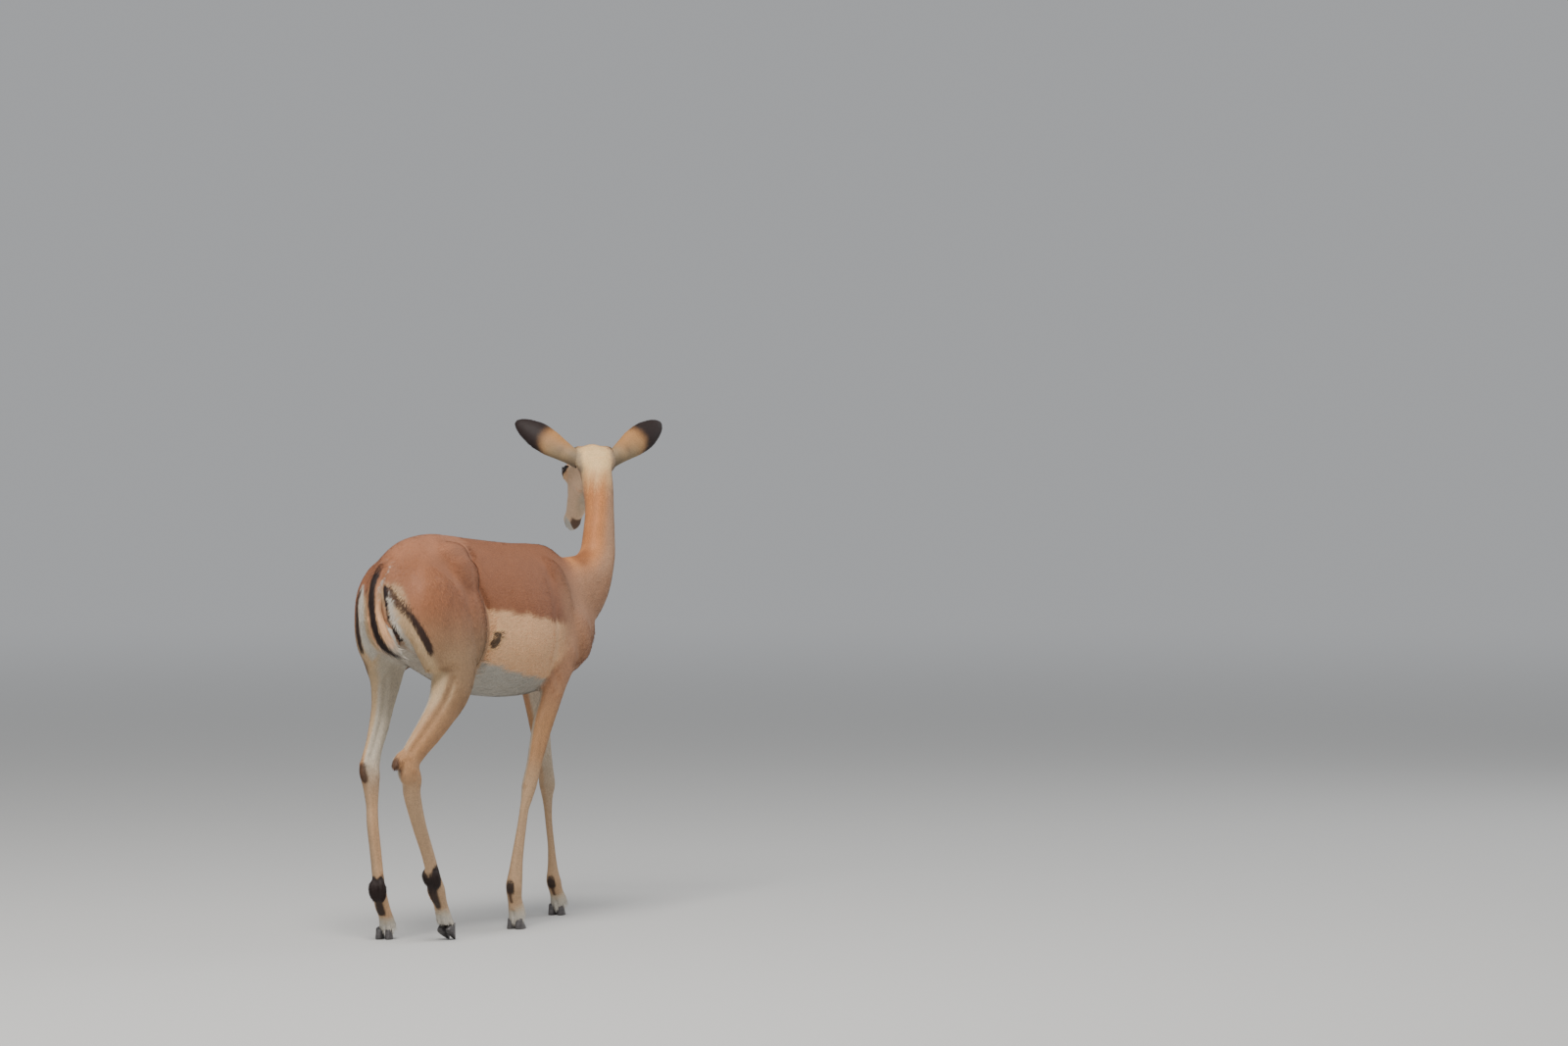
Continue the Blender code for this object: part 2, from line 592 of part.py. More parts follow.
PIECES = {
    "trunk": (0.000, 0.000, 0.680),
    "neck": (0.460, -0.025, 0.870),
    "head": (0.560, 0.070, 0.950),
    "gaskin_hind_right": (-0.330, -0.073, 0.455),
    "cannon_hind_right": (-0.330, -0.053, 0.245),
    "foot_hind_right": (-0.238, -0.038, 0.085),
    "gaskin_hind_left": (-0.300, 0.073, 0.445),
    "cannon_hind_left": (-0.312, 0.073, 0.225),
    "foot_hind_left": (-0.262, 0.080, 0.062),
    "forearm_right": (0.140, -0.071, 0.415),
    "cannon_fore_right": (0.080, -0.055, 0.205),
    "foot_fore_right": (0.068, -0.049, 0.070),
    "forearm_left": (0.335, 0.048, 0.400),
    "cannon_fore_left": (0.358, 0.037, 0.185),
    "foot_fore_left": (0.382, 0.034, 0.058),
}


# ---------------------------------------------------------------- objects
COLOURS = {
    "coat": ((0.40, 0.20, 0.115, 1.0), 0.85),
    "limb": ((0.45, 0.26, 0.15, 1.0), 0.85),
    "ear": ((0.30, 0.19, 0.13, 1.0), 0.85),
    "horn": ((0.050, 0.048, 0.050, 1.0), 0.45),
    "eye": ((0.010, 0.006, 0.005, 1.0), 0.08),
}


def coloured(kind):
    """The material of this kind, made once."""
    if kind not in bpy.data.materials:
        made = bpy.data.materials.new(kind)
        made.use_nodes = True
        shader = made.node_tree.nodes["Principled BSDF"]
        shader.inputs["Base Color"].default_value = COLOURS[kind][0]
        shader.inputs["Roughness"].default_value = COLOURS[kind][1]
    return bpy.data.materials[kind]


def mesh_object(name, bm, kind):
    """A scene object from a bmesh, which it frees."""
    mesh = bpy.data.meshes.new(name)
    bmesh.ops.recalc_face_normals(bm, faces=bm.faces)
    bmesh.ops.triangulate(bm, faces=bm.faces)
    bm.to_mesh(mesh)
    bm.free()
    mesh.materials.append(coloured(kind))
    made = bpy.data.objects.new(name, mesh)
    bpy.context.scene.collection.objects.link(made)
    return made


def apply_modifiers(made):
    """Replaces an object's mesh by what its modifiers make of it."""
    graph = bpy.context.evaluated_depsgraph_get()
    mesh = bpy.data.meshes.new_from_object(made.evaluated_get(graph))
    made.modifiers.clear()
    made.data = mesh


def taken_from(made, cutter):
    """Removes the cutter's space from an object."""
    step = made.modifiers.new("taken", "BOOLEAN")
    step.operation = "DIFFERENCE"
    step.solver = "EXACT"
    step.object = cutter
    apply_modifiers(made)


def joined_body():
    """The body in one piece, thinned to its triangle budget."""
    bm = bmesh.new()
    add_body(bm)
    body = mesh_object("body", bm, "coat")
    join = body.modifiers.new("join", "REMESH")
    join.mode = "VOXEL"
    join.voxel_size = VOXEL
    soften = body.modifiers.new("soften", "SMOOTH")
    soften.factor = 0.5
    soften.iterations = SMOOTHING_PASSES
    apply_modifiers(body)
    count = sum(len(face.vertices) - 2 for face in body.data.polygons)
    thin = body.modifiers.new("thin", "DECIMATE")
    thin.ratio = BODY_TRIANGLES / count
    apply_modifiers(body)
    return body


def slab_object():
    """Every cutting slab, and a block under each foot's coronet, in one object."""
    bm = bmesh.new()
    for cut in CUTS:
        facing = place(*cut.facing).normalized()
        length = place(1, 0, 0)
        length = (length - length.dot(facing) * facing).normalized()
        turn = Matrix((length, facing.cross(length), facing)).transposed().to_4x4()
        size = Matrix.Diagonal((2 * cut.half_length, 2 * cut.half_width, PIECE_GAP, 1.0))
        middle = Matrix.Translation(place(cut.forward, cut.left, cut.up))
        bmesh.ops.create_cube(bm, size=1.0, matrix=middle @ turn @ size)
    heel, toe = coronet_ends()
    slant = math.atan2(CLAW_FRONT - CLAW_HEEL, toe - heel)
    for claw in CLAW_PAIRS:
        height = (CLAW_FRONT + CLAW_HEEL) / 2 + PIECE_GAP
        middle = Matrix.Translation((0.0, -(heel + toe) / 2, height))
        lean = Matrix.Rotation(-slant, 4, "X")
        below = Matrix.Translation((0.0, 0.0, -COFFIN_BLOCK / 2))
        size = Matrix.Diagonal((COFFIN_BLOCK, COFFIN_BLOCK, COFFIN_BLOCK, 1.0))
        bmesh.ops.create_cube(bm, size=1.0, matrix=claw_frame(claw) @ middle @ lean @ below @ size)
    return mesh_object("slabs", bm, "coat")


def inflated(made, distance):
    """A copy of an object with its surface moved out by a distance."""
    bm = bmesh.new()
    bm.from_mesh(made.data)
    bm.normal_update()
    shifts = [(vertex, vertex.normal * distance) for vertex in bm.verts]
    for vertex, shift in shifts:
        vertex.co = vertex.co + shift
    return mesh_object(made.name + "_grown", bm, "coat")


def loose_parts(made):
    """The vertex groups of an object that hang together, as lists of face centres and faces."""
    bm = bmesh.new()
    bm.from_mesh(made.data)
    waiting = set(bm.faces)
    parts = []
    while waiting:
        edge_of_part = [waiting.pop()]
        part = list(edge_of_part)
        while edge_of_part:
            face = edge_of_part.pop()
            for edge in face.edges:
                for other in edge.link_faces:
                    if other in waiting:
                        waiting.remove(other)
                        part.append(other)
                        edge_of_part.append(other)
        parts.append([face.index for face in part])
    bm.free()
    return parts


def keep_part(made, name, indices, kind):
    """A new object holding only these faces of another one."""
    bm = bmesh.new()
    bm.from_mesh(made.data)
    bm.faces.ensure_lookup_table()
    kept = set(indices)
    drop = [face for face in bm.faces if face.index not in kept]
    bmesh.ops.delete(bm, geom=drop, context="FACES")
    bmesh.ops.delete(bm, geom=[e for e in bm.edges if not e.link_faces], context="EDGES")
    bmesh.ops.delete(bm, geom=[v for v in bm.verts if not v.link_faces], context="VERTS")
    return mesh_object(name, bm, kind)


def middle_of(made, indices):
    """The middle of the box round some faces."""
    corners = [made.data.vertices[i].co for f in indices for i in made.data.polygons[f].vertices]
    low = Vector([min(c[axis] for c in corners) for axis in range(3)])
    high = Vector([max(c[axis] for c in corners) for axis in range(3)])
    return (low + high) / 2


def part_body(body):
    """Names each part of the cut body after the nearest middle in PIECES."""
    names = dict(PIECES)
    parts = sorted(loose_parts(body), key=len, reverse=True)[:len(PIECES)]
    for indices in parts:
        middle = middle_of(body, indices)
        name = min(names, key=lambda key: (place(*names[key]) - middle).length)
        names.pop(name)
        kind = "coat" if name in ("trunk", "neck", "head") else "limb"
        keep_part(body, name, indices, kind)


def largest_part(made, name, kind):
    """Replaces an object by its biggest loose part."""
    indices = max(loose_parts(made), key=len)
    keep_part(made, name, indices, kind)
    bpy.data.objects.remove(made)


def add_ears_and_tail(body):
    """The ears and the tail, each cut back so that it just clears the body."""
    grown = inflated(body, EAR_CLEARANCE)
    for side, hand in (("left", 1), ("right", -1)):
        bm = bmesh.new()
        add_ear_skin(bm, hand)
        ear = mesh_object("raw_ear_" + side, bm, "ear")
        thick = ear.modifiers.new("thick", "SOLIDIFY")
        thick.thickness = EAR_THICKNESS
        thick.offset = 0.0
        apply_modifiers(ear)
        taken_from(ear, grown)
        largest_part(ear, "ear_" + side, "ear")
    bm = bmesh.new()
    add_loft(bm, tube_sections(TAIL, steps=2, count=12))
    tail = mesh_object("raw_tail", bm, "coat")
    taken_from(tail, grown)
    largest_part(tail, "tail", "coat")
    bpy.data.objects.remove(grown)


def add_eyes(body):
    """The eyeballs, and the sockets they sit in."""
    bm = bmesh.new()
    for hand in (-1, 1):
        ahead, side, up = EYE_PLACE
        centre = on_head(ahead, side * hand, up)
        add_ellipsoid(bm, centre, (EYE_RADIUS + EYE_CLEARANCE,) * 3, Matrix.Identity(3), 16)
    sockets = mesh_object("sockets", bm, "eye")
    taken_from(body, sockets)
    bpy.data.objects.remove(sockets)
    for name, hand in (("eye_left", 1), ("eye_right", -1)):
        bm = bmesh.new()
        ahead, side, up = EYE_PLACE
        centre = on_head(ahead, side * hand, up)
        add_ellipsoid(bm, centre, (EYE_RADIUS,) * 3, Matrix.Identity(3), 16)
        mesh_object(name, bm, "eye")


def add_hooves():
    """Two claws to each foot, the pitched ones resting on the tips of their toes."""
    for claw in CLAW_PAIRS:
        for name, half in (("a", 1), ("b", -1)):
            bm = bmesh.new()
            add_claw(bm, claw, half)
            mesh_object(claw.name + "_" + name, bm, "horn")


def main():
    """Builds every piece."""
    for old in list(bpy.data.objects):
        bpy.data.objects.remove(old)
    body = joined_body()
    add_ears_and_tail(body)
    add_eyes(body)
    slabs = slab_object()
    taken_from(body, slabs)
    bpy.data.objects.remove(slabs)
    part_body(body)
    bpy.data.objects.remove(body)
    add_hooves()
    for made in bpy.data.objects:
        made.data.transform(Matrix.Translation((-CENTRE[0], -CENTRE[1], 0.0)))


if __name__ == "__main__":
    main()
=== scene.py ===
"""An impala ewe, life size, caught in mid-step with her head turned to the left.

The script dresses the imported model: one hide with its folds and markings, the coat that lies on it,
the eyes, the hooves and a plain studio. Forms are written in the animal's own directions, which are
forward, left and up, in metres. In the scene forward is -Y, left is +X and up is +Z.
"""

import logging
import math
from dataclasses import dataclass
from enum import Enum
from functools import cache
from typing import NamedTuple

import bmesh
import bpy
import numpy as np
from mathutils import Matrix, Vector


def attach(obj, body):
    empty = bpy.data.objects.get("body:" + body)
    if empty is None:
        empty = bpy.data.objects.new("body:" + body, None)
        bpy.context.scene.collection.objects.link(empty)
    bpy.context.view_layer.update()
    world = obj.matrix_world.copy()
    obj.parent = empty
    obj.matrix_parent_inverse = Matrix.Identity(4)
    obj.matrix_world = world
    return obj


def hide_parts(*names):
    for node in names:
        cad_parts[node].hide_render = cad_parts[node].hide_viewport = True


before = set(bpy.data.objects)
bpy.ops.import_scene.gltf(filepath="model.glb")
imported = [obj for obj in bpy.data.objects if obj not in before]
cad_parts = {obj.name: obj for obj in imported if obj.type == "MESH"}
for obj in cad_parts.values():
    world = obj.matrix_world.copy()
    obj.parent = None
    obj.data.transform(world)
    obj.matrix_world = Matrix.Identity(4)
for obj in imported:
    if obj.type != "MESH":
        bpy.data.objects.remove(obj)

logging.basicConfig(level=logging.INFO, format="%(message)s")
LOG = logging.getLogger("impala")

Array = np.ndarray
Random = np.random.Generator
Object = bpy.types.Object
Mesh = bpy.types.Mesh
Material = bpy.types.Material
Node = bpy.types.Node
Socket = bpy.types.NodeSocket
BMesh = bmesh.types.BMesh
Row = tuple[float, ...]
Point = tuple[float, float, float]

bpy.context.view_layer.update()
CENTRE = np.array([0.0204, -0.1095, 0.0])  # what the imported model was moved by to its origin
HANDS = (-1, 1)  # the right side and the left
FAR = 1e3  # what places too far off to matter are said to be at


# ---------------- numbers
def turned(ways: Array) -> Array:
    """Directions given forward, left and up, as x, y and z."""
    ways = np.asarray(ways, float)
    return np.stack([ways[..., 1], -ways[..., 0], ways[..., 2]], -1)


def in_scene(points: Array) -> Array:
    """Points given forward, left and up, as rows of x, y and z."""
    return turned(points) - CENTRE


def ways_on_animal(ways: Array) -> Array:
    """Directions of the scene, as rows of forward, left and up."""
    ways = np.asarray(ways, float)
    return np.stack([-ways[..., 1], ways[..., 0], ways[..., 2]], -1)


def on_animal(points: Array) -> Array:
    """Points of the scene, as rows of forward, left and up."""
    return ways_on_animal(np.asarray(points, float) + CENTRE)


def unit(ways: Array) -> Array:
    """Directions made one long."""
    return ways / np.maximum(np.linalg.norm(ways, axis=-1, keepdims=True), 1e-12)


def ease(values: Array, low: float, high: float) -> Array:
    """A smooth step from 0 at low to 1 at high."""
    t = np.clip((values - low) / (high - low), 0.0, 1.0)
    return t * t * (3.0 - 2.0 * t)


def shade(red: float, green: float, blue: float) -> Array:
    """A colour given in display values from 0 to 255, in linear light."""
    value = np.array([red, green, blue]) / 255.0
    return np.where(value > 0.04045, ((value + 0.055) / 1.055) ** 2.4, value / 12.92)


def mixed(one: Array, other: Array, share: Array) -> Array:
    """Values that go from one to the other as share goes from 0 to 1."""
    return one * (1 - share) + other * share


def metres(rows: tuple[Row, ...]) -> Array:
    """Rows of lengths that are given in tenths of a millimetre."""
    return np.array(rows, float) / 1e4


def smooth_between(given: Array, steps: int) -> Array:
    """Rows of numbers with steps rows between neighbours, on a Catmull-Rom curve.

    Args:
        given: the rows to pass through.
        steps: rows made from one to the next.

    Returns:
        The finer rows.
    """
    padded = np.vstack([given[:1], given, given[-1:]])
    found = []
    for i in range(1, len(padded) - 2):
        a, b, c, d = padded[i - 1:i + 3]
        for t in np.arange(steps) / steps:
            found.append(0.5 * (2 * b + (c - a) * t + (2 * a - 5 * b + 4 * c - d) * t * t
                                + (3 * b - a - 3 * c + d) * t ** 3))
    found.append(given[-1])
    return np.array(found)


def off_path(points: Array, path: Array, reach: float) -> Array:
    """How far points lie from a path of straight lines.

    Args:
        points: rows of forward, left and up.
        path: the path's corners, in rows.
        reach: points further off than this are skipped, and read as very far.

    Returns:
        Each point's distance.
    """
    far = np.full(len(points), FAR)
    low, high = path.min(0) - reach, path.max(0) + reach
    near = np.flatnonzero(((points > low) & (points < high)).all(1))
    here = points[near]
    best = np.full(len(near), FAR)
    for start, end in zip(path, path[1:] if len(path) > 1 else path):
        way = end - start
        t = np.clip((here - start) @ way / max(way @ way, 1e-12), 0.0, 1.0)
        best = np.minimum(best, np.linalg.norm(here - start - t[:, None] * way, axis=1))
    far[near] = best
    return far


# ---------------- meshes
def add_ring(bm: BMesh, points: Array) -> list[bmesh.types.BMEdge]:
    """Adds a closed ring at these points of the scene, and returns its edges."""
    ring = bmesh.ops.create_circle(bm, cap_ends=False, radius=1.0, segments=len(points))["verts"]
    for vertex, point in zip(ring, points):
        vertex.co = point
    return list(dict.fromkeys(edge for vertex in ring for edge in vertex.link_edges))


def add_loft(bm: BMesh, sections: list[Array]) -> None:
    """Adds a closed body through rings of as many points each.

    Args:
        bm: the mesh that it is added to.
        sections: the rings' points in the scene, from end to end.
    """
    rings = [add_ring(bm, section) for section in sections]
    for before, after in zip(rings, rings[1:]):
        bmesh.ops.bridge_loops(bm, edges=before + after)
    for ring in (rings[0], rings[-1]):
        corners = dict.fromkeys(vertex for edge in ring for vertex in edge.verts)
        bmesh.ops.contextual_create(bm, geom=list(corners))


def add_ellipsoid(bm: BMesh, middle: Array, halves: Row, turn: Matrix) -> None:
    """Adds an ellipsoid.

    Args:
        bm: the mesh that it is added to.
        middle: its middle, given forward, left and up.
        halves: its half sizes along the columns of turn.
        turn: its directions in the scene.
    """
    place = Matrix.Translation(Vector(in_scene(middle)))
    scale = Matrix.Diagonal((*halves, 1.0))
    bmesh.ops.create_uvsphere(bm, u_segments=28, v_segments=16, radius=1.0,
                              matrix=place @ turn.to_4x4() @ scale)


def outline(count: int, squareness: float) -> Array:
    """Points of a unit superellipse, in rows of x and y."""
    angle = 2 * math.pi * np.arange(count) / count
    c, s = np.cos(angle), np.sin(angle)
    power = 2.0 / squareness
    return np.stack([np.sign(c) * abs(c) ** power, np.sign(s) * abs(s) ** power], 1)


def put_in_scene(name: str, data: bpy.types.ID) -> Object:
    """A new object of the scene, of this mesh, light or camera."""
    made = bpy.data.objects.new(name, data)
    bpy.context.scene.collection.objects.link(made)
    return made


def new_object(name: str, bm: BMesh) -> Object:
    """A scene object from a bmesh, which it frees."""
    mesh = bpy.data.meshes.new(name)
    bmesh.ops.recalc_face_normals(bm, faces=bm.faces)
    bm.to_mesh(mesh)
    bm.free()
    return put_in_scene(name, mesh)


def settle(made: Object) -> None:
    """Replaces an object's mesh by what its modifiers make of it."""
    graph = bpy.context.evaluated_depsgraph_get()
    mesh = bpy.data.meshes.new_from_object(made.evaluated_get(graph))
    made.modifiers.clear()
    made.data = mesh


def rows_of(items: bpy.types.bpy_prop_collection, name: str) -> Array:
    """One property of three numbers of every item, in rows."""
    found = np.empty(len(items) * 3, np.float32)
    items.foreach_get(name, found)
    return found.reshape(-1, 3).astype(float)


def places_on(mesh: Mesh) -> tuple[Array, Array]:
    """A mesh's vertices and their normals, in rows of x, y and z."""
    return rows_of(mesh.vertices, "co"), rows_of(mesh.vertex_normals, "vector")


def put_corners(mesh: Mesh, places: Array) -> None:
    """Moves a mesh's vertices to these places."""
    mesh.vertices.foreach_set("co", places.astype(np.float32).ravel())
    mesh.update()


def triangles(made: Object) -> int:
    """How many triangles an object's faces come to."""
    return sum(len(face.vertices) - 2 for face in made.data.polygons)


def paint(mesh: Mesh, colours: Array) -> None:
    """Gives a mesh its colours, one row a vertex, as the attribute coat_colour."""
    layer = mesh.color_attributes.new("coat_colour", "FLOAT_COLOR", "POINT")
    full = np.ones((len(colours), 4), np.float32)
    full[:, :3] = colours
    layer.data.foreach_set("color", full.ravel())


# ---------------- station tables
# Lengths are in tenths of a millimetre here.
TRUNK = (  # forward, left, top, bottom, half width and height of the widest place
    (-4040, 0, 7360, 6610, 240, 6990),  # below the tail
    (-3920, 0, 7790, 6360, 500, 7030),
    (-3620, 0, 8170, 6130, 740, 7070),  # root of the tail
    (-3000, 0, 8490, 5880, 900, 7140),
    (-2150, 0, 8600, 5550, 920, 7230),  # hip bones
    (-1400, 0, 8560, 5280, 850, 6840),  # flank
    (-600, 0, 8480, 5090, 1020, 6500),
    (400, -20, 8390, 4980, 1210, 6360),  # barrel
    (1200, -60, 8330, 4960, 1150, 6420),
    (1900, -100, 8310, 5010, 960, 6480),  # withers
    (2500, -140, 8240, 5130, 780, 6440),
    (3050, -200, 7940, 5290, 680, 6390),
    (3500, -250, 7550, 5450, 560, 6420),  # breast
    (3850, -280, 7150, 5750, 400, 6450),
)
NECK = (  # forward, left, up, half width and half depth, as on the limbs
    (2400, -140, 6880, 620, 1120),
    (3200, -220, 6990, 580, 1040),
    (3930, -330, 7350, 500, 800),
    (4370, -370, 7860, 410, 520),
    (4550, -330, 8410, 360, 490),
    (4680, -270, 8960, 340, 460),
    (4750, -190, 9460, 370, 440),
    (4810, -110, 9840, 370, 370),
    (4890, -40, 10080, 350, 270),
    (4970, 20, 10240, 300, 170),
)
TAIL = (
    (-3300, 0, 7980, 160, 120),
    (-3780, 40, 7910, 190, 140),
    (-4070, 85, 7530, 200, 140),
    (-4170, 50, 7060, 210, 140),
    (-4150, -25, 6660, 230, 150),
    (-4040, -125, 6360, 230, 150),
    (-3890, -225, 6190, 170, 120),
    (-3740, -325, 6060, 70, 70),
)
HIND_RIGHT = (
    (-2940, -440, 8000, 160, 300),
    (-2970, -560, 7720, 320, 640),
    (-2940, -670, 7320, 420, 920),
    (-2780, -720, 6720, 430, 1080),
    (-2580, -770, 6170, 420, 960),
    (-2465, -808, 5720, 410, 740),  # stifle
    (-2630, -816, 5270, 390, 575),
    (-2915, -774, 4870, 310, 450),
    (-3270, -732, 4530, 262, 395),
    (-3630, -690, 4230, 235, 345),  # gaskin
    (-3880, -640, 3960, 215, 330),
    (-3960, -640, 3730, 215, 320),  # hock
    (-3829, -639, 3510, 207, 280),
    (-3745, -596, 3190, 179, 235),
    (-3396, -545, 2540, 145, 198),  # cannon
    (-2973, -500, 1890, 136, 178),
    (-2664, -456, 1360, 152, 190),
    (-2520, -428, 1100, 194, 216),  # fetlock
    (-2325, -401, 830, 160, 170),
    (-2210, -386, 630, 170, 165),
    (-2100, -376, 440, 184, 174),
    (-2000, -376, 260, 184, 174),
)
HIND_LEFT = (  # the sixth number is degrees turned outward
    (-2900, 420, 8010, 160, 300),
    (-2950, 540, 7730, 320, 620),
    (-2920, 640, 7330, 410, 900),
    (-2760, 690, 6730, 420, 1060),
    (-2604, 744, 6180, 396, 910),
    (-2572, 781, 5730, 349, 640),  # stifle
    (-2642, 763, 5340, 295, 442),
    (-2771, 747, 4930, 251, 331),
    (-2948, 725, 4530, 231, 288),  # gaskin
    (-3169, 709, 4120, 205, 267),
    (-3345, 691, 3770, 205, 300),
    (-3358, 671, 3520, 198, 275),  # hock
    (-3313, 678, 3270, 171, 225),
    (-3257, 698, 2900, 139, 176, 6),
    (-3212, 711, 2490, 138, 177, 10),
    (-3060, 740, 1940, 136, 172, 14),  # cannon
    (-2892, 765, 1270, 138, 166, 18),
    (-2749, 789, 820, 165, 189, 18),  # fetlock
    (-2582, 801, 550, 161, 161, 18),
    (-2493, 812, 400, 179, 174, 18),
    (-2433, 822, 260, 190, 185, 18),
    (-2403, 822, 120, 190, 185, 18),
)
FORE_RIGHT = (
    (2450, -660, 6580, 260, 660),
    (2150, -760, 5980, 310, 640),
    (1854, -802, 5420, 260, 440),  # elbow
    (1630, -772, 4870, 235, 335),
    (1424, -729, 4420, 229, 305),
    (1258, -693, 3920, 198, 255),
    (1148, -646, 3470, 170, 208),
    (1064, -592, 3090, 167, 194),  # knee
    (973, -579, 2810, 135, 157),
    (884, -569, 2580, 109, 136),
    (812, -555, 2250, 110, 135),  # cannon
    (714, -541, 1840, 121, 152),
    (648, -522, 1480, 137, 175),
    (605, -511, 1180, 158, 202),
    (580, -494, 940, 181, 214),  # fetlock
    (648, -474, 630, 165, 177),
    (726, -468, 420, 195, 190),
    (780, -453, 260, 195, 190),
    (798, -449, 120, 195, 190),
)
FORE_LEFT = (
    (2900, 500, 6550, 260, 600),
    (3050, 560, 5950, 300, 580),
    (3150, 560, 5400, 295, 500),  # elbow
    (3250, 520, 4850, 270, 400),
    (3310, 480, 4300, 235, 320),
    (3400, 450, 3750, 195, 265),
    (3470, 420, 3320, 175, 215),
    (3521, 400, 2920, 180, 210),  # knee
    (3508, 390, 2670, 137, 160, 4),
    (3516, 381, 2400, 103, 140, 8),
    (3559, 380, 2020, 88, 130, 10),  # cannon
    (3626, 368, 1580, 91, 132, 12),
    (3657, 361, 1250, 108, 150, 12),
    (3679, 353, 980, 136, 175, 12),
    (3703, 345, 780, 170, 196, 12),  # fetlock
    (3822, 345, 520, 162, 167, 12),
    (3892, 345, 400, 190, 185, 12),
    (3952, 345, 260, 190, 185, 12),
    (3982, 345, 120, 190, 185, 12),
)
HEAD = (  # ahead, half width, top and bottom
    (-180, 220, 160, -300),
    (0, 350, 320, -460),
    (280, 410, 400, -580),
    (580, 430, 420, -600),
    (860, 410, 400, -540),  # eyes
    (1150, 340, 340, -460),
    (1440, 275, 270, -400),
    (1730, 230, 220, -350),
    (2020, 185, 180, -310),
    (2260, 175, 150, -280),  # nostrils
    (2440, 155, 100, -240),
    (2540, 90, 10, -160),
)


# ---------------- where the head is
HEAD_ORIGIN = np.array([0.5, 0.006, 1.017])  # the middle of the back of the skull
HEAD_TURN = math.radians(46)  # to the animal's left
HEAD_DROP = math.radians(40)  # nose below the horizontal
NECK_STILL = 0.35  # share of the neck that doesn't turn with the head
EYE_PLACE = (0.086, 0.0345, 0.0165)  # ahead, to the side and up the head
EYE_RADIUS = 0.0165
FORE_SHIFT = -0.012  # the forequarters stand this far to the right
HEAD_SPARE = 0.0022  # width added between the eyes and the muzzle


def head_axes() -> tuple[Array, Array, Array]:
    """The head's directions: ahead to the nose, left, and up across the face."""
    level = np.array([math.cos(HEAD_TURN), math.sin(HEAD_TURN), 0.0])
    ahead = level * math.cos(HEAD_DROP) - np.array([0, 0, math.sin(HEAD_DROP)])
    left = np.array([-math.sin(HEAD_TURN), math.cos(HEAD_TURN), 0.0])
    return ahead, left, np.cross(ahead, left)


def on_head(ahead: float, left: float, up: float) -> Array:
    """A point given in the head's directions, as forward, left and up."""
    axis, side, top = head_axes()
    return HEAD_ORIGIN + axis * ahead + side * left + top * up


def off_head(points: Array) -> Array:
    """Points given forward, left and up, as rows in the head's directions."""
    return (points - HEAD_ORIGIN) @ np.stack(head_axes(), 1)


class Region(Enum):
    """The parts of the body whose hair lies each its own way."""

    TRUNK = 0
    NECK = 1
    HEAD = 2
    TAIL = 3
    HIND_RIGHT = 4
    HIND_LEFT = 5
    FORE_RIGHT = 6
    FORE_LEFT = 7


HINDS = ((Region.HIND_RIGHT, -1), (Region.HIND_LEFT, 1))
FORES = ((Region.FORE_RIGHT, -1), (Region.FORE_LEFT, 1))


@dataclass
class Form:
    """A body part swept along its stations.

    The arrays hold one row a ring: its centre, the directions along, sideways and across, its half
    width, and its half depth on either side of the centre.
    """

    region: Region
    centre: Array
    along: Array
    side: Array
    across: Array
    half_width: Array
    above: Array
    below: Array
    squareness: float = 2.0
    taper: tuple[float, float] = (0.0, 0.0)
    lie: float = 1.0  # 1 where the hair lies along the stations, -1 where it lies against
    droop: float = 0.0  # how much the hair turns down
    block: int = 20000  # points measured at a time

    def rings(self, count: int) -> list[Array]:
        """The rings' points in the scene, count to a ring."""
        found = []
        for i in range(len(self.centre)):
            points = []
            for x, y in outline(count, self.squareness):
                depth = self.above[i] if y > 0 else self.below[i]
                narrow = 1.0 - self.taper[0] * max(y, 0) ** 2 - self.taper[1] * max(-y, 0) ** 2
                points.append(self.centre[i] + self.side[i] * x * narrow * self.half_width[i]
                              + self.across[i] * y * depth)
            found.append(in_scene(np.array(points)))
        return found

    def measure(self, points: Array) -> tuple[Array, Array, Array, Array]:
        """Where points lie on this form.

        Args:
            points: rows of forward, left and up.

        Returns:
            How far out each lies, 1 being the surface, its nearest ring, its sideways offset and
            its offset across, both against the ring's size.
        """
        ring = np.empty(len(points), int)
        for start in range(0, len(points), self.block):
            part = slice(start, start + self.block)
            gap = points[part, None, :] - self.centre[None]
            ring[part] = np.argmin((gap ** 2).sum(2), 1)
        off = points - self.centre[ring]
        x = (off * self.side[ring]).sum(1) / self.half_width[ring]
        y = (off * self.across[ring]).sum(1)
        y = y / np.where(y > 0, self.above[ring], self.below[ring])
        beyond = (off * self.along[ring]).sum(1) / self.half_width[ring]
        beyond = np.where((ring == 0) | (ring == len(self.centre) - 1), beyond, 0.25 * beyond)
        return np.sqrt(x * x + y * y + beyond * beyond), ring, x, y

    def on_skin(self, share: Array, degrees: Array, hand: int) -> Array:
        """Points of the form's surface.

        Args:
            share: how far along the form each lies, from 0 to 1.
            degrees: the angle round the form, from its front to its outer side.
            hand: 1 for the left side and -1 for the right.

        Returns:
            Rows of forward, left and up.
        """
        last = len(self.centre) - 1
        ring = np.clip((share * last).round().astype(int), 0, last)
        angle = np.radians(degrees)
        x, y = np.sin(angle) * hand, np.cos(angle)
        return self.centre[ring] + self.side[ring] * (x * self.half_width[ring])[:, None] \
            + self.across[ring] * (y * self.above[ring])[:, None]


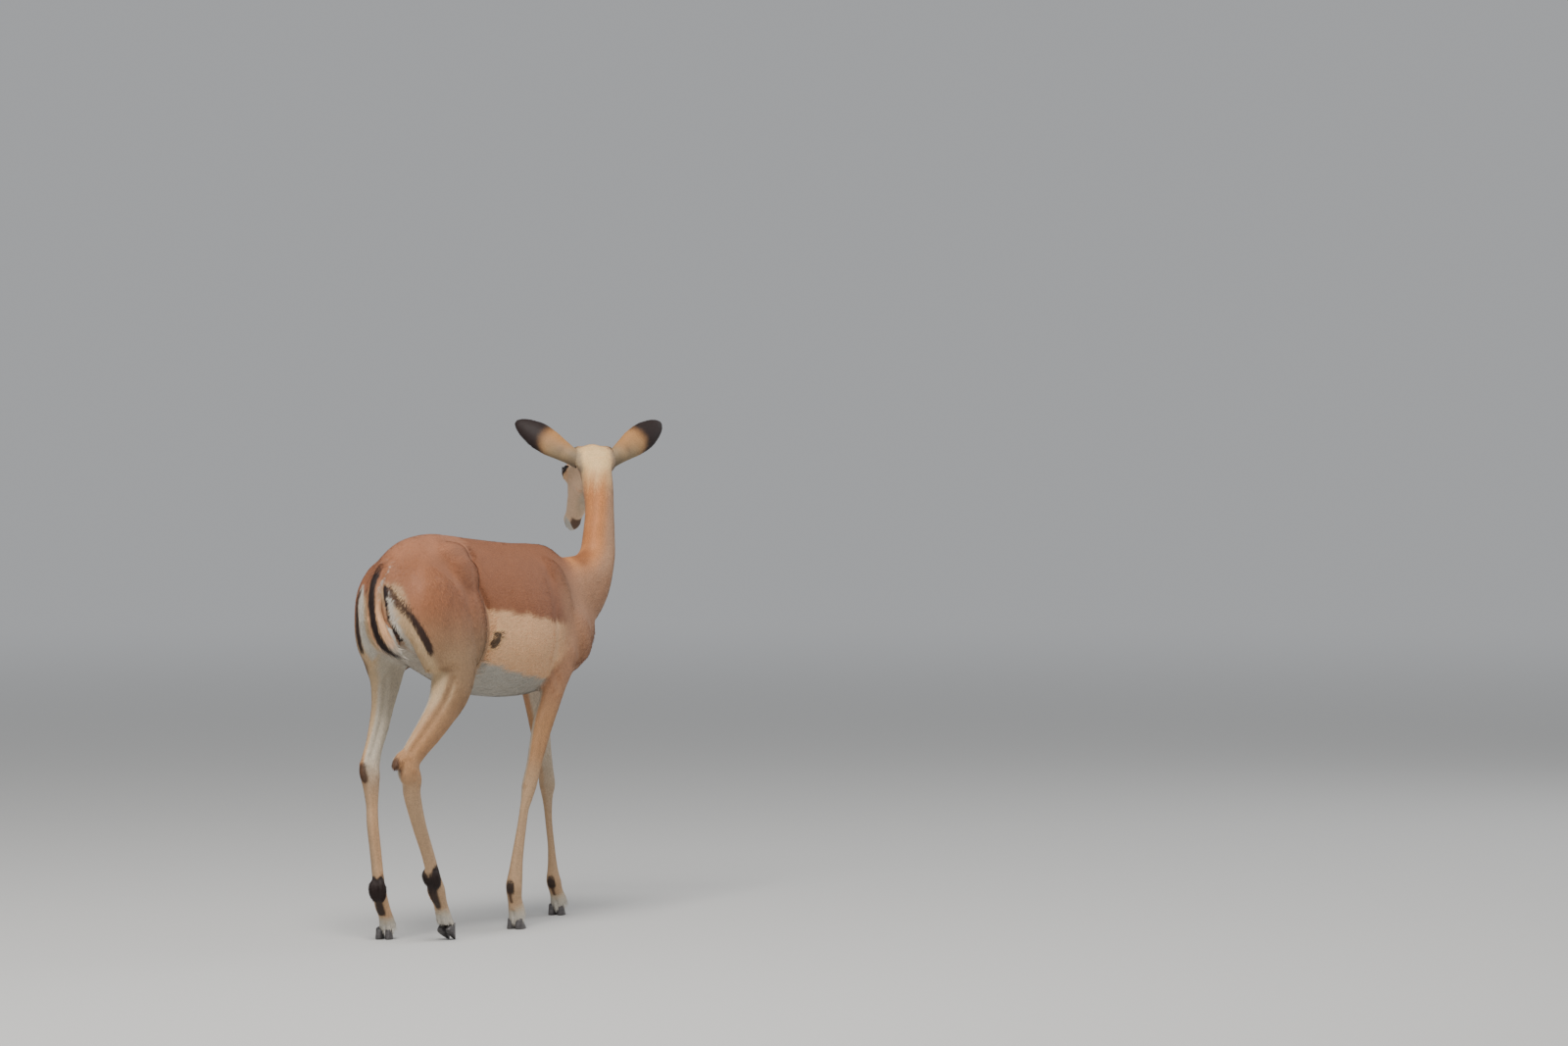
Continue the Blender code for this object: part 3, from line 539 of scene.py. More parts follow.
def across_body(rows: tuple[Row, ...], steps: int) -> Form:
    """The trunk's form, whose rings stand across the spine."""
    row = smooth_between(metres(rows), steps)
    forward, left, top, bottom, half_width, widest = row.T
    ahead = np.tile([1.0, 0.0, 0.0], (len(row), 1))
    return Form(Region.TRUNK, np.stack([forward, left, widest], 1), ahead,
                np.roll(ahead, 1, 1), np.roll(ahead, 2, 1), half_width, top - widest,
                widest - bottom, 2.15, (0.22, 0.1), -1.0, 0.35)


def swept(region: Region, rows: tuple[Row, ...], hand: float = 1.0, steps: int = 4,
          with_head: bool = False, lie: float = 1.0) -> Form:
    """A limb, neck or tail: rings across the path through its stations.

    Args:
        region: which part it is.
        rows: forward, left, up, half width, half depth and, where given, degrees turned outward,
            with the lengths in tenths of a millimetre.
        hand: 1 for the left side and -1 for the right.
        steps: rings from one station to the next.
        with_head: whether the upper rings turn with the head.
        lie: 1 where the hair lies along the stations, -1 where it lies against.

    Returns:
        The form.
    """
    full = np.array([row + (0,) * (6 - len(row)) for row in rows], float)
    full[:, :5] = metres(full[:, :5])
    row = smooth_between(full, steps)
    centre = row[:, :3]
    along = unit(np.vstack([centre[1] - centre[0], centre[2:] - centre[:-2],
                            centre[-1] - centre[-2]]))
    share = np.linspace(0.0, 1.0, len(row))
    if with_head:
        turn = HEAD_TURN * np.maximum(0.0, share - NECK_STILL) / (1 - NECK_STILL) * 0.85
    else:
        turn = np.radians(row[:, 5]) * hand
    side = np.stack([-np.sin(turn), np.cos(turn), 0 * turn], 1)
    side = unit(side - (side * along).sum(1)[:, None] * along)
    return Form(region, centre, along, side, np.cross(along, side), row[:, 3], row[:, 4],
                row[:, 4], lie=lie)


def along_head(rows: tuple[Row, ...], steps: int) -> Form:
    """The head's form, whose rings stand across its long axis."""
    row = smooth_between(metres(rows), steps)
    axis, side, top = (np.tile(way, (len(row), 1)) for way in head_axes())
    centre = HEAD_ORIGIN + axis * row[:, :1]
    spare = HEAD_SPARE * ease(row[:, 0], 0.09, 0.12) * ease(row[:, 0], 0.235, 0.215)
    return Form(Region.HEAD, centre, axis, side, top, row[:, 1] + spare, row[:, 2], -row[:, 3], 2.2,
                (0.25, 0.28), -1.0)


class Lobe(NamedTuple):
    """A muscle or bone that shows as a swelling: middle, half sizes and how far its top leans."""

    forward: float
    left: float
    up: float
    length: float
    width: float
    height: float
    lean: float

    def halves(self) -> Row:
        """Its half sizes in the scene's directions."""
        return self.width, self.length, self.height

    def out(self, at: Array) -> Array:
        """How far out places lie, 1 being its surface if it didn't lean."""
        gap = (at - np.array(self[:3])) / np.array([self.length, self.width, self.height])
        return np.linalg.norm(gap, axis=1)


HIND_LOBES = (
    Lobe(-0.205, 0.05, 0.803, 0.072, 0.028, 0.042, 0),  # hip bone
    Lobe(-0.332, 0.046, 0.702, 0.06, 0.05, 0.078, 8),  # buttock
    Lobe(-0.19, 0.08, 0.658, 0.08, 0.027, 0.098, 0),  # front of the thigh
    Lobe(-0.2, 0.07, 0.755, 0.07, 0.028, 0.06, 0),  # upper thigh
)
FORE_LOBES = (
    Lobe(0.207, 0.056, 0.688, 0.064, 0.032, 0.118, -20),  # shoulder blade
    Lobe(0.283, 0.059, 0.628, 0.054, 0.035, 0.072, -28),  # point of the shoulder
    Lobe(0.185, 0.07, 0.593, 0.058, 0.026, 0.06, 20),  # triceps
)
HEEL_LOBES = (
    Lobe(-0.3545, 0.068, 0.369, 0.0165, 0.0135, 0.03, 10),  # point of the left hock
    Lobe(-0.424, -0.06, 0.396, 0.0145, 0.0135, 0.033, 55),  # point of the right hock
)
TUFT_CORES = (
    Lobe(-0.297, 0.064, 0.108, 0.012, 0.0115, 0.024, 8),  # left hind, its two lobes
    Lobe(-0.303, 0.08, 0.108, 0.012, 0.0115, 0.024, 8),
    Lobe(-0.277, -0.056, 0.137, 0.012, 0.0115, 0.0235, 30),  # right hind, its two lobes
    Lobe(-0.277, -0.037, 0.137, 0.012, 0.0115, 0.0235, 30),
)
HEAD_LOBES = (  # ahead, left, up and half sizes
    (0.058, 0.021, -0.022, (0.044, 0.0165, 0.03)),  # cheek
    (0.088, 0.033, 0.0165, (0.024, 0.0168, 0.0215)),  # rim of the eye
    (0.002, 0.034, -0.01, (0.021, 0.02, 0.036)),  # root of the ear
    (0.227, 0.0085, 0.002, (0.022, 0.0115, 0.012)),  # wing of the nose
    (0.214, 0.000, -0.023, (0.026, 0.014, 0.011)),  # chin
)


FOOT_REACH = 0.055  # how far from the middle of the claws' top a place still belongs to the foot


@dataclass
class Claws:
    """The two claws of one foot, from the heel ahead."""

    name: str
    forward: float
    left: float
    outward: float
    pitch: float = 0.0
    length: float = 0.047
    width: float = 0.0182
    cleft: float = 0.0026
    front: float = 0.029  # height at the toe
    heel: float = 0.02  # height at the heel
    heel_lean: float = 0.006
    slope: float = math.radians(52)
    toe_sink: float = 0.0022

    def stand(self) -> Matrix:
        """The matrix that stands the claws in place, before the model's centring."""
        turn = math.radians(self.outward) * (1 if self.left > 0 else -1)
        at = Matrix.Translation(Vector(in_scene(np.array([self.forward, self.left, 0.0]))))
        stand = at @ Matrix.Rotation(turn, 4, "Z")
        if not self.pitch:
            return stand
        tip = Vector((0.0, -self.length, 0.0))
        sunk = Matrix.Translation(tip - Vector((0.0, 0.0, self.toe_sink)))
        return stand @ sunk @ Matrix.Rotation(math.radians(self.pitch), 4, "X") \
            @ Matrix.Translation(-tip)

    def ends(self, share: float = 1.0) -> tuple[float, float]:
        """How far ahead of the heel a section at this share of the height starts and ends."""
        toe = self.length - share * self.front / math.tan(self.slope)
        return share * self.heel_lean, toe

    def over_coronet(self, places: Array) -> tuple[Array, Array, Array, Array]:
        """Where places of the scene lie over the claws' top.

        Args:
            places: rows of x, y and z.

        Returns:
            The middle of the top, the direction that it faces, each place's height over it, and
            its distance from that middle.
        """
        heel, toe = self.ends()
        middle = Vector((0.0, -(heel + toe) / 2, (self.front + self.heel) / 2))
        faces = Vector((0.0, self.front - self.heel, toe - heel)).normalized()
        stand = self.stand()
        top, up = np.array(stand @ middle), np.array((stand.to_3x3() @ faces).normalized())
        off = places - top
        return top, up, off @ up, np.linalg.norm(off, axis=1)


FEET = (
    Claws("fore_left", 0.374, 0.034, 12),
    Claws("fore_right", 0.057, -0.0455, 0),
    Claws("hind_left", -0.266, 0.081, 18),
    Claws("hind_right", -0.225, -0.0376, 0, 32),
)


def all_forms() -> list[Form]:
    """Every swept part of the body, in the order of Region."""
    return [
        across_body(TRUNK, 6),
        swept(Region.NECK, NECK, with_head=True, lie=-1.0),
        along_head(HEAD, 6),
        swept(Region.TAIL, TAIL),
        swept(Region.HIND_RIGHT, HIND_RIGHT, -1),
        swept(Region.HIND_LEFT, HIND_LEFT, 1),
        swept(Region.FORE_RIGHT, FORE_RIGHT, -1),
        swept(Region.FORE_LEFT, FORE_LEFT, 1),
    ]


@dataclass
class Sites:
    """Places on the body, with all that markings, folds and hair need to know of them."""

    at: Array  # rows of forward, left and up
    facing: Array  # which way the surface faces there
    belongs: Array  # how much each place belongs to each region
    way: Array  # which way the hair lies
    round: Array  # angle round the nearest form
    share: Array  # how far along the nearest form
    owner: Array  # the nearest form's number

    def of(self, *regions: Region) -> Array:
        """How much each place belongs to any of these regions."""
        return self.belongs[:, [region.value for region in regions]].sum(1)


def survey(forms: list[Form], places: Array, normals: Array) -> Sites:
    """Finds what there is to know of places on the body.

    Args:
        forms: every swept part of the body.
        places: rows of x, y and z.
        normals: the surface's direction at each.

    Returns:
        The places.
    """
    at, facing = on_animal(places), ways_on_animal(normals)
    outs, ways, rounds, shares = [], [], [], []
    for form in forms:
        out, ring, x, y = form.measure(at)
        outs.append(out)
        ways.append(form.along[ring] * form.lie - np.array([0, 0, form.droop]))
        rounds.append(np.arctan2(x, y))
        shares.append(ring / (len(form.centre) - 1))
    out = np.stack(outs, 1)
    owner = out.argmin(1)
    belongs = np.exp(-9.0 * (out - out.min(1)[:, None]))
    belongs /= belongs.sum(1)[:, None]
    way = (np.stack(ways, 1) * belongs[:, :, None]).sum(1)
    way = unit(way - (way * facing).sum(1)[:, None] * facing)
    pick = np.arange(len(at))
    return Sites(at, facing, belongs, way, np.stack(rounds, 1)[pick, owner],
                 np.stack(shares, 1)[pick, owner], owner)


# ---------------- folds
class Space(Enum):
    """The directions that a fold's path is given in."""

    BODY = "forward, left and up, on the right side"
    HIND = "share down a hind limb, and degrees from its front to its outer side"
    FORE = "the same on a fore limb"
    HEAD = "ahead, to the side and up the head"


class Fold(NamedTuple):
    """A crease or ridge laid into the hide, on both sides of the animal."""

    path: tuple[Row, ...]
    reach: float
    height: float


FOLDS = {
    Space.BODY: (
        Fold(((-0.11, -0.046, 0.82), (-0.116, -0.066, 0.79), (-0.126, -0.078, 0.76),
              (-0.124, -0.081, 0.738), (-0.113, -0.086, 0.712), (-0.102, -0.089, 0.685),
              (-0.097, -0.091, 0.65), (-0.096, -0.087, 0.615), (-0.099, -0.076, 0.582),
              (-0.103, -0.062, 0.553)), 0.008, -0.005),  # fold of the flank
        Fold(((-0.15, -0.08, 0.795), (-0.152, -0.098, 0.74), (-0.137, -0.105, 0.69),
              (-0.126, -0.107, 0.64), (-0.128, -0.099, 0.59)), 0.014, 0.0032),
        Fold(((0.192, -0.083, 0.784), (0.215, -0.098, 0.735), (0.262, -0.104, 0.672)),
             0.016, 0.0008),  # shoulder blade
        Fold(((0.15, -0.088, 0.76), (0.138, -0.108, 0.68), (0.146, -0.104, 0.6)),
             0.016, -0.0028),  # behind the shoulder
        Fold(((0.15, -0.09, 0.565), (0.166, -0.094, 0.525)), 0.009, -0.003),
        Fold(((0.25, -0.095, 0.6), (0.276, -0.1, 0.56)), 0.012, -0.002),
        Fold(((0.37, -0.078, 0.72), (0.42, -0.074, 0.8), (0.442, -0.066, 0.88),
              (0.452, -0.055, 0.95)), 0.016, -0.0012),  # side of the neck
        Fold(((-0.402, -0.004, 0.7), (-0.38, -0.003, 0.63), (-0.34, 0, 0.59)),
             0.014, -0.006),  # below the tail
        Fold(((-0.25, -0.098, 0.78), (-0.29, -0.1, 0.7), (-0.3, -0.105, 0.62)),
             0.022, -0.0022),  # hamstring
    ),
    Space.HIND: (
        Fold(((0.27, 128), (0.34, 126), (0.41, 126), (0.47, 130)), 0.0075, -0.0045),
        Fold(((0.27, -128), (0.34, -126), (0.41, -126), (0.47, -130)), 0.0085, -0.006),
        Fold(((0.31, 60), (0.4, 55), (0.47, 50)), 0.007, -0.0014),
        Fold(((0.515, 90), (0.535, 75)), 0.0075, 0.0014),
        Fold(((0.515, -90), (0.535, -75)), 0.0075, 0.0014),
        Fold(((0.56, 118), (0.66, 120), (0.74, 122)), 0.0042, -0.0018),
        Fold(((0.56, -118), (0.66, -120), (0.74, -122)), 0.0042, -0.0018),
        Fold(((0.86, 178),), 0.0085, -0.002),  # hollow of the pastern
        Fold(((0.89, 0), (0.95, 0)), 0.0036, -0.0032),  # between the toes
        Fold(((0.9, 180), (0.95, 180)), 0.0036, -0.0034),
    ),
    Space.FORE: (
        Fold(((0.12, 115), (0.22, 118), (0.33, 112)), 0.007, -0.0018),
        Fold(((0.13, 40), (0.24, 35), (0.34, 30)), 0.006, -0.0012),
        Fold(((0.38, 0), (0.405, 0)), 0.008, 0.0014),  # knee
        Fold(((0.385, 180),), 0.0065, 0.0024),
        Fold(((0.46, 112), (0.58, 114), (0.71, 118)), 0.004, -0.0017),
        Fold(((0.46, -112), (0.58, -114), (0.71, -118)), 0.004, -0.0017),
        Fold(((0.775, 180),), 0.006, 0.002),  # heel of the fetlock
        Fold(((0.83, 178),), 0.008, -0.0018),
        Fold(((0.86, 0), (0.92, 0)), 0.0036, -0.0032),
        Fold(((0.87, 180), (0.92, 180)), 0.0036, -0.0034),
    ),
    Space.HEAD: (
        Fold(((0.034, 0.039, -0.01), (0.022, 0.036, -0.04)), 0.01, -0.001),
        Fold(((0.056, 0.044, -0.006), (0.098, 0.038, -0.007), (0.135, 0.029, -0.006)),
             0.006, 0.0014),  # cheek bone
        Fold(((0.08, 0.038, -0.028), (0.125, 0.028, -0.022)), 0.012, -0.0008),
        Fold(((0.118, 0.029, 0.012), (0.15, 0.025, 0.008)), 0.0085, -0.0008),
        Fold(((0.052, 0.036, 0.026),), 0.009, -0.002),  # temple
        Fold(((0.03, 0, 0.04), (0.07, 0, 0.042)), 0.012, 0.001),
        Fold(((0.252, 0.004, -0.012), (0.246, 0.0125, -0.0125), (0.232, 0.0185, -0.0135),
              (0.205, 0.0205, -0.015), (0.18, 0.0225, -0.016), (0.168, 0.024, -0.015)),
             0.0017, -0.0026),  # mouth
        Fold(((0.247, 0.011, -0.008), (0.225, 0.019, -0.009), (0.2, 0.02, -0.01)),
             0.0035, 0.0008),  # upper lip
        Fold(((0.249, 0.0045, 0.0035), (0.246, 0.0095, 0.0055), (0.24, 0.013, 0.0065),
              (0.233, 0.015, 0.0085)), 0.0019, -0.0042),  # nostril
        Fold(((0.244, 0.0075, 0.011), (0.236, 0.0115, 0.0125)), 0.003, 0.001),
        Fold(((0.255, 0, 0.002), (0.253, 0, -0.011)), 0.0014, -0.0012),
    ),
}


def fold_paths(space: Space, fold: Fold, forms: list[Form]) -> list[Array]:
    """A fold's paths on both sides of the animal, forward, left and up.

    Args:
        space: the directions that its path is given in.
        fold: the fold.
        forms: every swept part of the body.

    Returns:
        One path a side.
    """
    given = np.array(fold.path, float)
    if space is Space.BODY:
        other = given * np.array([1.0, -1.0, 1.0])
        other[:, 1:2] += np.where(given[:, :1] > 0.12, 2 * FORE_SHIFT, 0.0)
        return [given, other]
    if space is Space.HEAD:
        return [np.array([on_head(a, s * hand, u) for a, s, u in given]) for hand in HANDS]
    if len(given) > 1:
        corners = np.linspace(0, 1, len(given))
        fine = np.linspace(0, 1, 4 * len(given))
        given = np.stack([np.interp(fine, corners, column) for column in given.T], 1)
    return [forms[region.value].on_skin(*given.T, hand)
            for region, hand in (HINDS if space is Space.HIND else FORES)]


# ---------------- the hide
@dataclass
class Ear:
    """One ear: a strip of skin rolled round its line, open to the front."""

    hand: int
    root: Point = (0.006, 0.034, -0.016)  # ahead, to the side and up the head
    hollow: float = 0.62  # depth of the open part against its radius
    thickness: float = 0.003
    segments: int = 34
    steps: int = 9
    stations: tuple[Row, ...] = (  # along, radius, half the wrap in degrees
        (0, 0.016, 150), (0.025, 0.0185, 132), (0.05, 0.023, 105), (0.08, 0.0283, 84),
        (0.11, 0.0298, 70), (0.136, 0.0235, 62), (0.155, 0.015, 54), (0.1635, 0.007, 48),
    )

    def axes(self) -> tuple[Array, Array, Array]:
        """The ear's directions: along to its tip, the way its open side faces, and across."""
        axis, side, top = head_axes()
        spread = math.radians(48 if self.hand > 0 else 52)
        along = top * math.cos(spread) + side * self.hand * math.sin(spread)
        facing = (axis + top) * 0.66 + side * self.hand * 0.35
        facing = unit(facing - (facing @ along) * along)
        return along, facing, np.cross(along, facing)

    def surface(self, across: Array, reach: Array) -> Array:
        """Points of the ear's middle surface, forward, left and up.

        Args:
            across: from -1 to 1 over the strip.
            reach: from 0 at the root to 1 at the tip.

        Returns:
            The points.
        """
        along, facing, over = self.axes()
        stretch = 1.02 if self.hand > 0 else 1.07
        row = smooth_between(np.array(self.stations) * (stretch, 1, 1), self.steps)
        at = reach * (len(row) - 1)
        line, radius, wrap = (np.interp(at, np.arange(len(row)), column) for column in row.T)
        angle = np.radians(wrap) * across
        depth = self.hollow + (1.0 - self.hollow) * np.maximum(0.0, wrap - 100.0) / 50.0
        root = on_head(self.root[0], self.root[1] * self.hand, self.root[2])
        return root + along * line[:, None] + over * (np.sin(angle) * radius)[:, None] \
            - facing * (np.cos(angle) * radius * depth)[:, None]

    def build(self) -> Mesh:
        """The ear's closed mesh, thin at its rim, with across and reach kept in ear_place."""
        bm = bmesh.new()
        rows = (len(self.stations) - 1) * self.steps
        bmesh.ops.create_grid(bm, x_segments=self.segments, y_segments=rows, size=1.0)
        keep = bm.verts.layers.float_vector.new("ear_place")
        flat = np.array([vertex.co[:] for vertex in bm.verts])
        places = in_scene(self.surface(flat[:, 0], (flat[:, 1] + 1.0) / 2.0))
        for vertex, here, place in zip(bm.verts, flat, places):
            vertex[keep] = (here[0], (here[1] + 1.0) / 2.0, 0.0)
            vertex.co = place
        made = new_object("ear", bm)
        thick = made.modifiers.new("thick", "SOLIDIFY")
        thick.thickness = self.thickness
        thick.offset = 0.0
        settle(made)
        mesh = made.data
        bpy.data.objects.remove(made)
        return mesh


@dataclass
class Hide:
    """The one skin of the whole body, ears and all."""

    forms: list[Form]
    voxel: float = 0.003
    smoothing: int = 9  # rounds over the whole hide
    melting: int = 80  # rounds where forms meet
    limit: int = 84000  # triangles before the head is made finer

    def add_lobes(self, bm: BMesh) -> None:
        """Adds every swelling of the body and the head."""
        for lobes, shift in ((HIND_LOBES, 0.0), (FORE_LOBES, FORE_SHIFT)):
            for lobe in lobes:
                for hand in HANDS:
                    middle = np.array([lobe.forward, lobe.left * hand + shift, lobe.up])
                    add_ellipsoid(bm, middle, lobe.halves(),
                                  Matrix.Rotation(math.radians(lobe.lean), 3, "X"))
        for lobes, sense in ((HEEL_LOBES, 1), (TUFT_CORES, -1)):
            for lobe in lobes:
                add_ellipsoid(bm, np.array(lobe[:3]), lobe.halves(),
                              Matrix.Rotation(math.radians(sense * lobe.lean), 3, "X"))
        turn = Matrix([Vector(turned(way)) for way in head_axes()]).transposed()
        for ahead, left, up, halves in HEAD_LOBES:
            for hand in HANDS if left else (1,):
                add_ellipsoid(bm, on_head(ahead, left * hand, up), halves, turn)

    def raw(self) -> Object:
        """The joined and smoothed forms, out to the tips of the coat."""
        bm = bmesh.new()
        for form in self.forms:
            add_loft(bm, form.rings(20 if form.region is Region.TAIL else 40))
        self.add_lobes(bm)
        made = new_object("hide", bm)
        join = made.modifiers.new("join", "REMESH")
        join.mode = "VOXEL"
        join.voxel_size = self.voxel
        soften = made.modifiers.new("soften", "SMOOTH")
        soften.factor = 0.5
        soften.iterations = self.smoothing
        settle(made)
        self.melt(made)
        return made

    def melt(self, made: Object) -> None:
        """Softens the hollows where the forms of the body meet."""
        sites = survey(self.forms, *places_on(made.data))
        up = sites.at[:, 2]
        best = np.sort(sites.belongs, 1)
        meeting = ease(4 * best[:, -1] * best[:, -2], 0.15, 0.8)
        share = 0.7 * sites.of(Region.TRUNK) + 0.4 * sites.of(Region.NECK)
        limb = 1.0 - sites.of(Region.TRUNK, Region.NECK, Region.HEAD, Region.TAIL)
        share = np.maximum(share + 0.5 * limb, meeting) * ease(up, 0.46, 0.6)
        share *= 1 - ease(sites.of(Region.TAIL), 0.02, 0.2)
        head, spot = sites.of(Region.HEAD), off_head(sites.at)
        share = np.where(head > 0.5, 0.85 * ease(spot[:, 0], 0.08, 0.055), share)
        front = ease(sites.at[:, 0], 0.13, 0.19) * ease(sites.at[:, 0], 0.37, 0.31)
        front *= ease(up, 0.585, 0.64) * ease(up, 0.85, 0.8)
        cheek = ease(head, 0.15, 0.4) * ease(spot[:, 0], 0.08, 0.06) * ease(spot[:, 2], 0.02, 0.0)
        for name, values, times in (("meeting", share, self.melting),
                                    ("again", np.maximum(front, cheek), 2 * self.melting)):
            group = made.vertex_groups.new(name=name)
            level = (values * 10).round().astype(int)
            for number in range(1, 11):
                group.add(np.flatnonzero(level == number).tolist(), number / 10, "REPLACE")
            melt = made.modifiers.new(name, "SMOOTH")
            melt.factor = 0.5
            melt.iterations = times
            melt.vertex_group = name
        settle(made)
        made.vertex_groups.clear()

    def coat_depth(self, sites: Sites) -> Array:
        """How deep the coat is over each place."""
        depth = mixed(0.003, 0.0014, ease(sites.at[:, 2], 0.42, 0.3))
        return mixed(depth, 0.0012, sites.of(Region.HEAD))

    def fold_in(self, at: Array, facing: Array) -> Array:
        """Lays every fold into places on the hide."""
        lift = np.zeros(len(at))
        for space, folds in FOLDS.items():
            for fold in folds:
                for path in fold_paths(space, fold, self.forms):
                    off = off_path(at, path, 3 * fold.reach)
                    lift += fold.height * np.exp(-(off / fold.reach) ** 2)
        return at + facing * lift[:, None]

    def open_eyes(self, at: Array) -> Array:
        """Draws the lids over the eyeballs, and sinks the skin that lies between them."""
        at = at.copy()
        for hand in HANDS:
            level = Eye(hand).level(at)
            near = np.flatnonzero(level.near)
            off, opening, out = level.off[near], level.opening[near], level.out[near]
            lid = EYE_RADIUS + 0.0007 + 0.0012 * ease(opening, 0.0, 0.7)
            gap = off - lid
            free = lid + 0.5 * (gap + np.sqrt(gap ** 2 + 0.0014 ** 2))
            shell = lid + (free - lid) * ease(opening, 0.5, 2.8)
            wanted = np.where(opening < 0, EYE_RADIUS - 0.003, shell)
            held = ease(out, -0.12, 0.1)
            at[near] = level.centre + level.way[near] * (off + (wanted - off) * held)[:, None]
        return at

    def plug_feet(self, places: Array) -> Array:
        """Ends each foot just inside the top of its claws."""
        for claws in FEET:
            top, up, height, off = claws.over_coronet(places)
            near = (off < 0.06) & (height < -0.0006)
            flat = places - top - height[:, None] * up
            places = np.where(near[:, None], top + flat * 0.8 - up * 0.0012, places)
        return places

    def refine(self, mesh: Mesh) -> None:
        """Makes the mesh finer over the head, and finer again round the eyes, nose and mouth."""
        bm = bmesh.new()
        bm.from_mesh(mesh)
        bmesh.ops.triangulate(bm, faces=bm.faces)
        for rounds in range(2):
            spots = off_head(on_animal(np.array([v.co[:] for v in bm.verts])))
            if rounds == 0:
                fine = (spots[:, 0] > 0.02) & (np.abs(spots).max(1) < 0.3)
            else:
                fine = spots[:, 0] > 0.205
                for side in HANDS:
                    off = spots - np.array([EYE_PLACE[0], EYE_PLACE[1] * side, EYE_PLACE[2]])
                    fine |= (np.linalg.norm(off, axis=1) < 0.024) & (off[:, 1] * side > -0.004)
                mouth = np.array([(0.25, 0.004, -0.012), (0.232, 0.018, -0.0135),
                                  (0.165, 0.024, -0.015)])
                sides = np.stack([spots[:, 0], np.abs(spots[:, 1]), spots[:, 2]], 1)
                fine |= off_path(sides, mouth, 0.02) < 0.005
            edges = [e for e in bm.edges if fine[e.verts[0].index] and fine[e.verts[1].index]]
            made = bmesh.ops.subdivide_edges(bm, edges=edges, cuts=1, use_grid_fill=True)
            fresh = [item for item in made["geom_inner"] if isinstance(item, bmesh.types.BMVert)]
            bmesh.ops.triangulate(bm, faces=bm.faces)
            bmesh.ops.smooth_vert(bm, verts=fresh, factor=0.5, use_axis_x=True, use_axis_y=True,
                                  use_axis_z=True)
            bm.verts.index_update()
        bm.to_mesh(mesh)
        bm.free()

    def build(self) -> Object:
        """The finished hide."""
        made = self.raw()
        places, normals = places_on(made.data)
        depth = self.coat_depth(survey(self.forms, places, normals))
        put_corners(made.data, places - normals * depth[:, None])
        thin = made.modifiers.new("thin", "DECIMATE")
        thin.ratio = min(1.0, self.limit / triangles(made))
        settle(made)
        self.refine(made.data)
        places, normals = places_on(made.data)
        at = self.open_eyes(self.fold_in(on_animal(places), ways_on_animal(normals)))
        put_corners(made.data, self.plug_feet(in_scene(at)))
        return made


# ---------------- the eyes
class Level(NamedTuple):
    """How places lie round an eyeball."""

    centre: Array
    near: Array  # whether each is close enough to belong to the lids
    off: Array  # distance from the ball's middle
    way: Array  # direction from the ball's middle
    out: Array  # how squarely that direction leaves the head
    opening: Array  # below 0 between the lids, above 0 outside them
    along: Array  # angle ahead along the opening
    rise: Array  # angle above the opening's middle


@dataclass
class Eye:
    """One eyeball, and the opening of its lids."""

    hand: int
    half_length: float = math.radians(46)  # from the middle to the front corner
    rear_length: float = math.radians(62)  # from the middle to the rear corner
    upper: float = math.radians(35)
    lower: float = math.radians(37)
    tilt: float = math.radians(14)  # the front corner lies lower

    def centre(self) -> Array:
        """The ball's middle, forward, left and up."""
        ahead, side, up = EYE_PLACE
        return on_head(ahead, side * self.hand, up)

    def axes(self) -> tuple[Array, Array, Array]:
        """Out of the head, ahead along the opening, and up across it."""
        axis, side, top = head_axes()
        out = unit(side * self.hand + axis * 0.2 + top * 0.22)
        ahead = axis * math.cos(self.tilt) - top * math.sin(self.tilt)
        ahead = unit(ahead - (ahead @ out) * out)
        up = np.cross(out, ahead) * (1 if np.cross(out, ahead) @ top > 0 else -1)
        return out, ahead, up

    def level(self, at: Array) -> Level:
        """How places given forward, left and up lie round this eye."""
        out, ahead, up = self.axes()
        centre = self.centre()
        gap = at - centre
        off = np.linalg.norm(gap, axis=1)
        way = gap / np.maximum(off, 1e-9)[:, None]
        squarely = way @ out
        along = np.arctan2(way @ ahead, np.maximum(squarely, 1e-3))
        rise = np.arctan2(way @ up, np.maximum(squarely, 1e-3))
        half = np.where(rise > 0, self.upper, self.lower)
        length = np.where(along > 0, self.half_length, self.rear_length)
        opening = np.abs(along / length) ** 1.8 + np.abs(rise / half) ** 2.0 - 1.0
        near = (off < EYE_RADIUS * 2.0) & (squarely > -0.12)
        return Level(centre, near, off, way, squarely, np.where(near, opening, FAR), along, rise)

    def build(self) -> Object:
        """The ball, turned so that its pole is the pupil, with a low dome over the iris."""
        out, ahead, up = self.axes()
        turn = Matrix([Vector(turned(way)) for way in (ahead, up, out)]).transposed()
        place = Matrix.Translation(Vector(in_scene(self.centre()))) @ turn.to_4x4()
        bm = bmesh.new()
        bmesh.ops.create_uvsphere(bm, u_segments=48, v_segments=32, radius=EYE_RADIUS)
        spot = bm.verts.layers.float_vector.new("eye_place")
        for vertex in bm.verts:
            x, y, z = vertex.co / EYE_RADIUS
            vertex[spot] = (x, y, z)
            dome = 1.0 + 0.035 * float(ease(np.array(z), 0.72, 0.95))
            vertex.co = place @ (vertex.co * dome * 0.985)
        side = "left" if self.hand > 0 else "right"
        made = new_object("eyeball_" + side, bm)
        for face in made.data.polygons:
            face.use_smooth = True
        made.data.materials.append(EyeFinish().material())
        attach(made, "root")
        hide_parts("eye_" + side)
        return made


# ---------------- markings
Colour = tuple[int, int, int]


